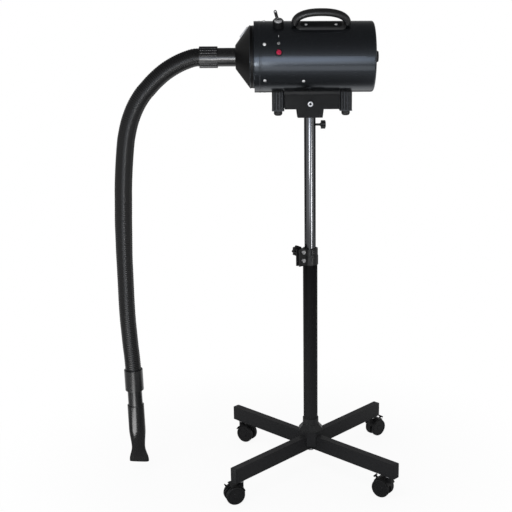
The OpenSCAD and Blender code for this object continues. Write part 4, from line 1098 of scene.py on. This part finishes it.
def make_floor():
    """A pale floor with soft shadows, which mirrors show dimmed."""
    deselect()
    bpy.ops.mesh.primitive_circle_add(
        vertices=96, radius=FLOOR_R, fill_type="NGON", location=FLOOR_PLACE)
    floor = fresh("floor")
    material = bpy.data.materials.new("floor")
    material.use_nodes = True
    tree = material.node_tree
    tree.nodes.clear()
    path, seen = seen_directly(tree)
    place = add(tree, "ShaderNodeTexCoord")
    # Share of plain white, with the rest left for the shadow under the machine
    reach = add(tree, "ShaderNodeVectorMath", {0: place.outputs["Object"]}, operation="LENGTH")
    fade = ramp(tree, reach.outputs["Value"], SHADOW_REACH, (0.92, 1.0),
                interpolation_type="SMOOTHSTEP")
    matt = add(tree, "ShaderNodeBsdfDiffuse", {"Color": (0.80, 0.80, 0.80, 1)})
    # Brightness in mirrors: low round the machine, higher farther out, highest behind it
    sides = add(tree, "ShaderNodeSeparateXYZ", {0: place.outputs["Object"]})
    apart = add(tree, "ShaderNodeVectorMath", {
        0: place.outputs["Object"], 1: (-0.2, -0.1, 0)}, operation="DISTANCE")
    ahead = ramp(tree, apart.outputs["Value"], OUTER_REACH, (FLOOR_LOW, FLOOR_OUTER))
    near = ramp(tree, sides.outputs["Y"], BEHIND_REACH, (ahead.outputs[0], FLOOR_BEHIND))
    far = ramp(tree, sides.outputs["Y"], FAR_REACH, (1.0, FLOOR_FAR_SHARE))
    behind = maths(tree, "MULTIPLY", near.outputs[0], far.outputs[0])
    strength = ramp(tree, path.outputs["Is Camera Ray"], (0.0, 1.0), (behind.outputs[0], 1.0))
    glow = add(tree, "ShaderNodeEmission", {"Color": WHITE, "Strength": strength.outputs[0]})
    share = maths(tree, "MULTIPLY", seen, fade.outputs[0])
    mixed = add(tree, "ShaderNodeMixShader", {
        0: share.outputs[0], 1: matt.outputs[0], 2: glow.outputs[0]})
    add(tree, "ShaderNodeOutputMaterial", {"Surface": mixed.outputs[0]})
    floor.data.materials.append(material)


def lamp(name, place, aim, width, height, radiance, glossy=True, color=(1, 1, 1)):
    """A soft panel lamp with the same brightness all over."""
    data = bpy.data.lights.new(name, "AREA")
    data.shape = "RECTANGLE"
    data.size = width
    data.size_y = height
    data.energy = radiance * math.pi * width * height
    data.color = color
    made = bpy.data.objects.new(name, data)
    made.location = place
    made.rotation_euler = (Vector(aim) - Vector(place)).to_track_quat("-Z", "Y").to_euler()
    made.visible_camera = False
    made.visible_glossy = glossy
    scene.collection.objects.link(made)
    return made


make_world()
make_floor()

# Wide panels that the drum and the chrome mirror
lamp("horizon_panel", (-0.33, -2.25, 0.885), (-0.33, 0, 0.885), 1.55, 0.53, 1.60,
     color=(0.76, 0.85, 1.0))
lamp("low_panel", (-0.33, -2.27, 0.43), (-0.33, 0, 0.43), 1.55, 0.38, 0.95,
     color=(0.90, 0.95, 1.0))
lamp("floor_panel", (-0.33, -1.75, 0.02), (-0.33, -1.75, 2.0), 1.7, 1.0, 0.70)

# Small panels for the nozzle, the lower cuff and the upper cuff
slanting = lamp("nozzle_panel", (-0.61, -0.38, 0.003), (-0.61, -0.38, 1.0), 0.24, 0.48, 3.3)
slanting.rotation_euler.rotate_axis("Z", math.radians(-22))
lamp("cuff_panel", (-0.46, -0.80, 0.003), (-0.46, -0.80, 1.0), 0.36, 0.36, 1.5)
lamp("collar_panel", (-0.235, -1.0, 0.76), (-0.235, 0, 1.132), 0.16, 0.20, 9.5)

# Narrow beam for the pole and the column, and the light from above
strip = lamp("right_strip", (1.25, -2.15, 0.35), (0, 0, 0.83), 0.45, 0.62, 0.065)
strip.data.spread = math.radians(10)
lamp("overhead", (-0.9, -1.3, 2.9), (-0.05, 0, 0.5), 1.6, 1.6, 2.8, glossy=False)
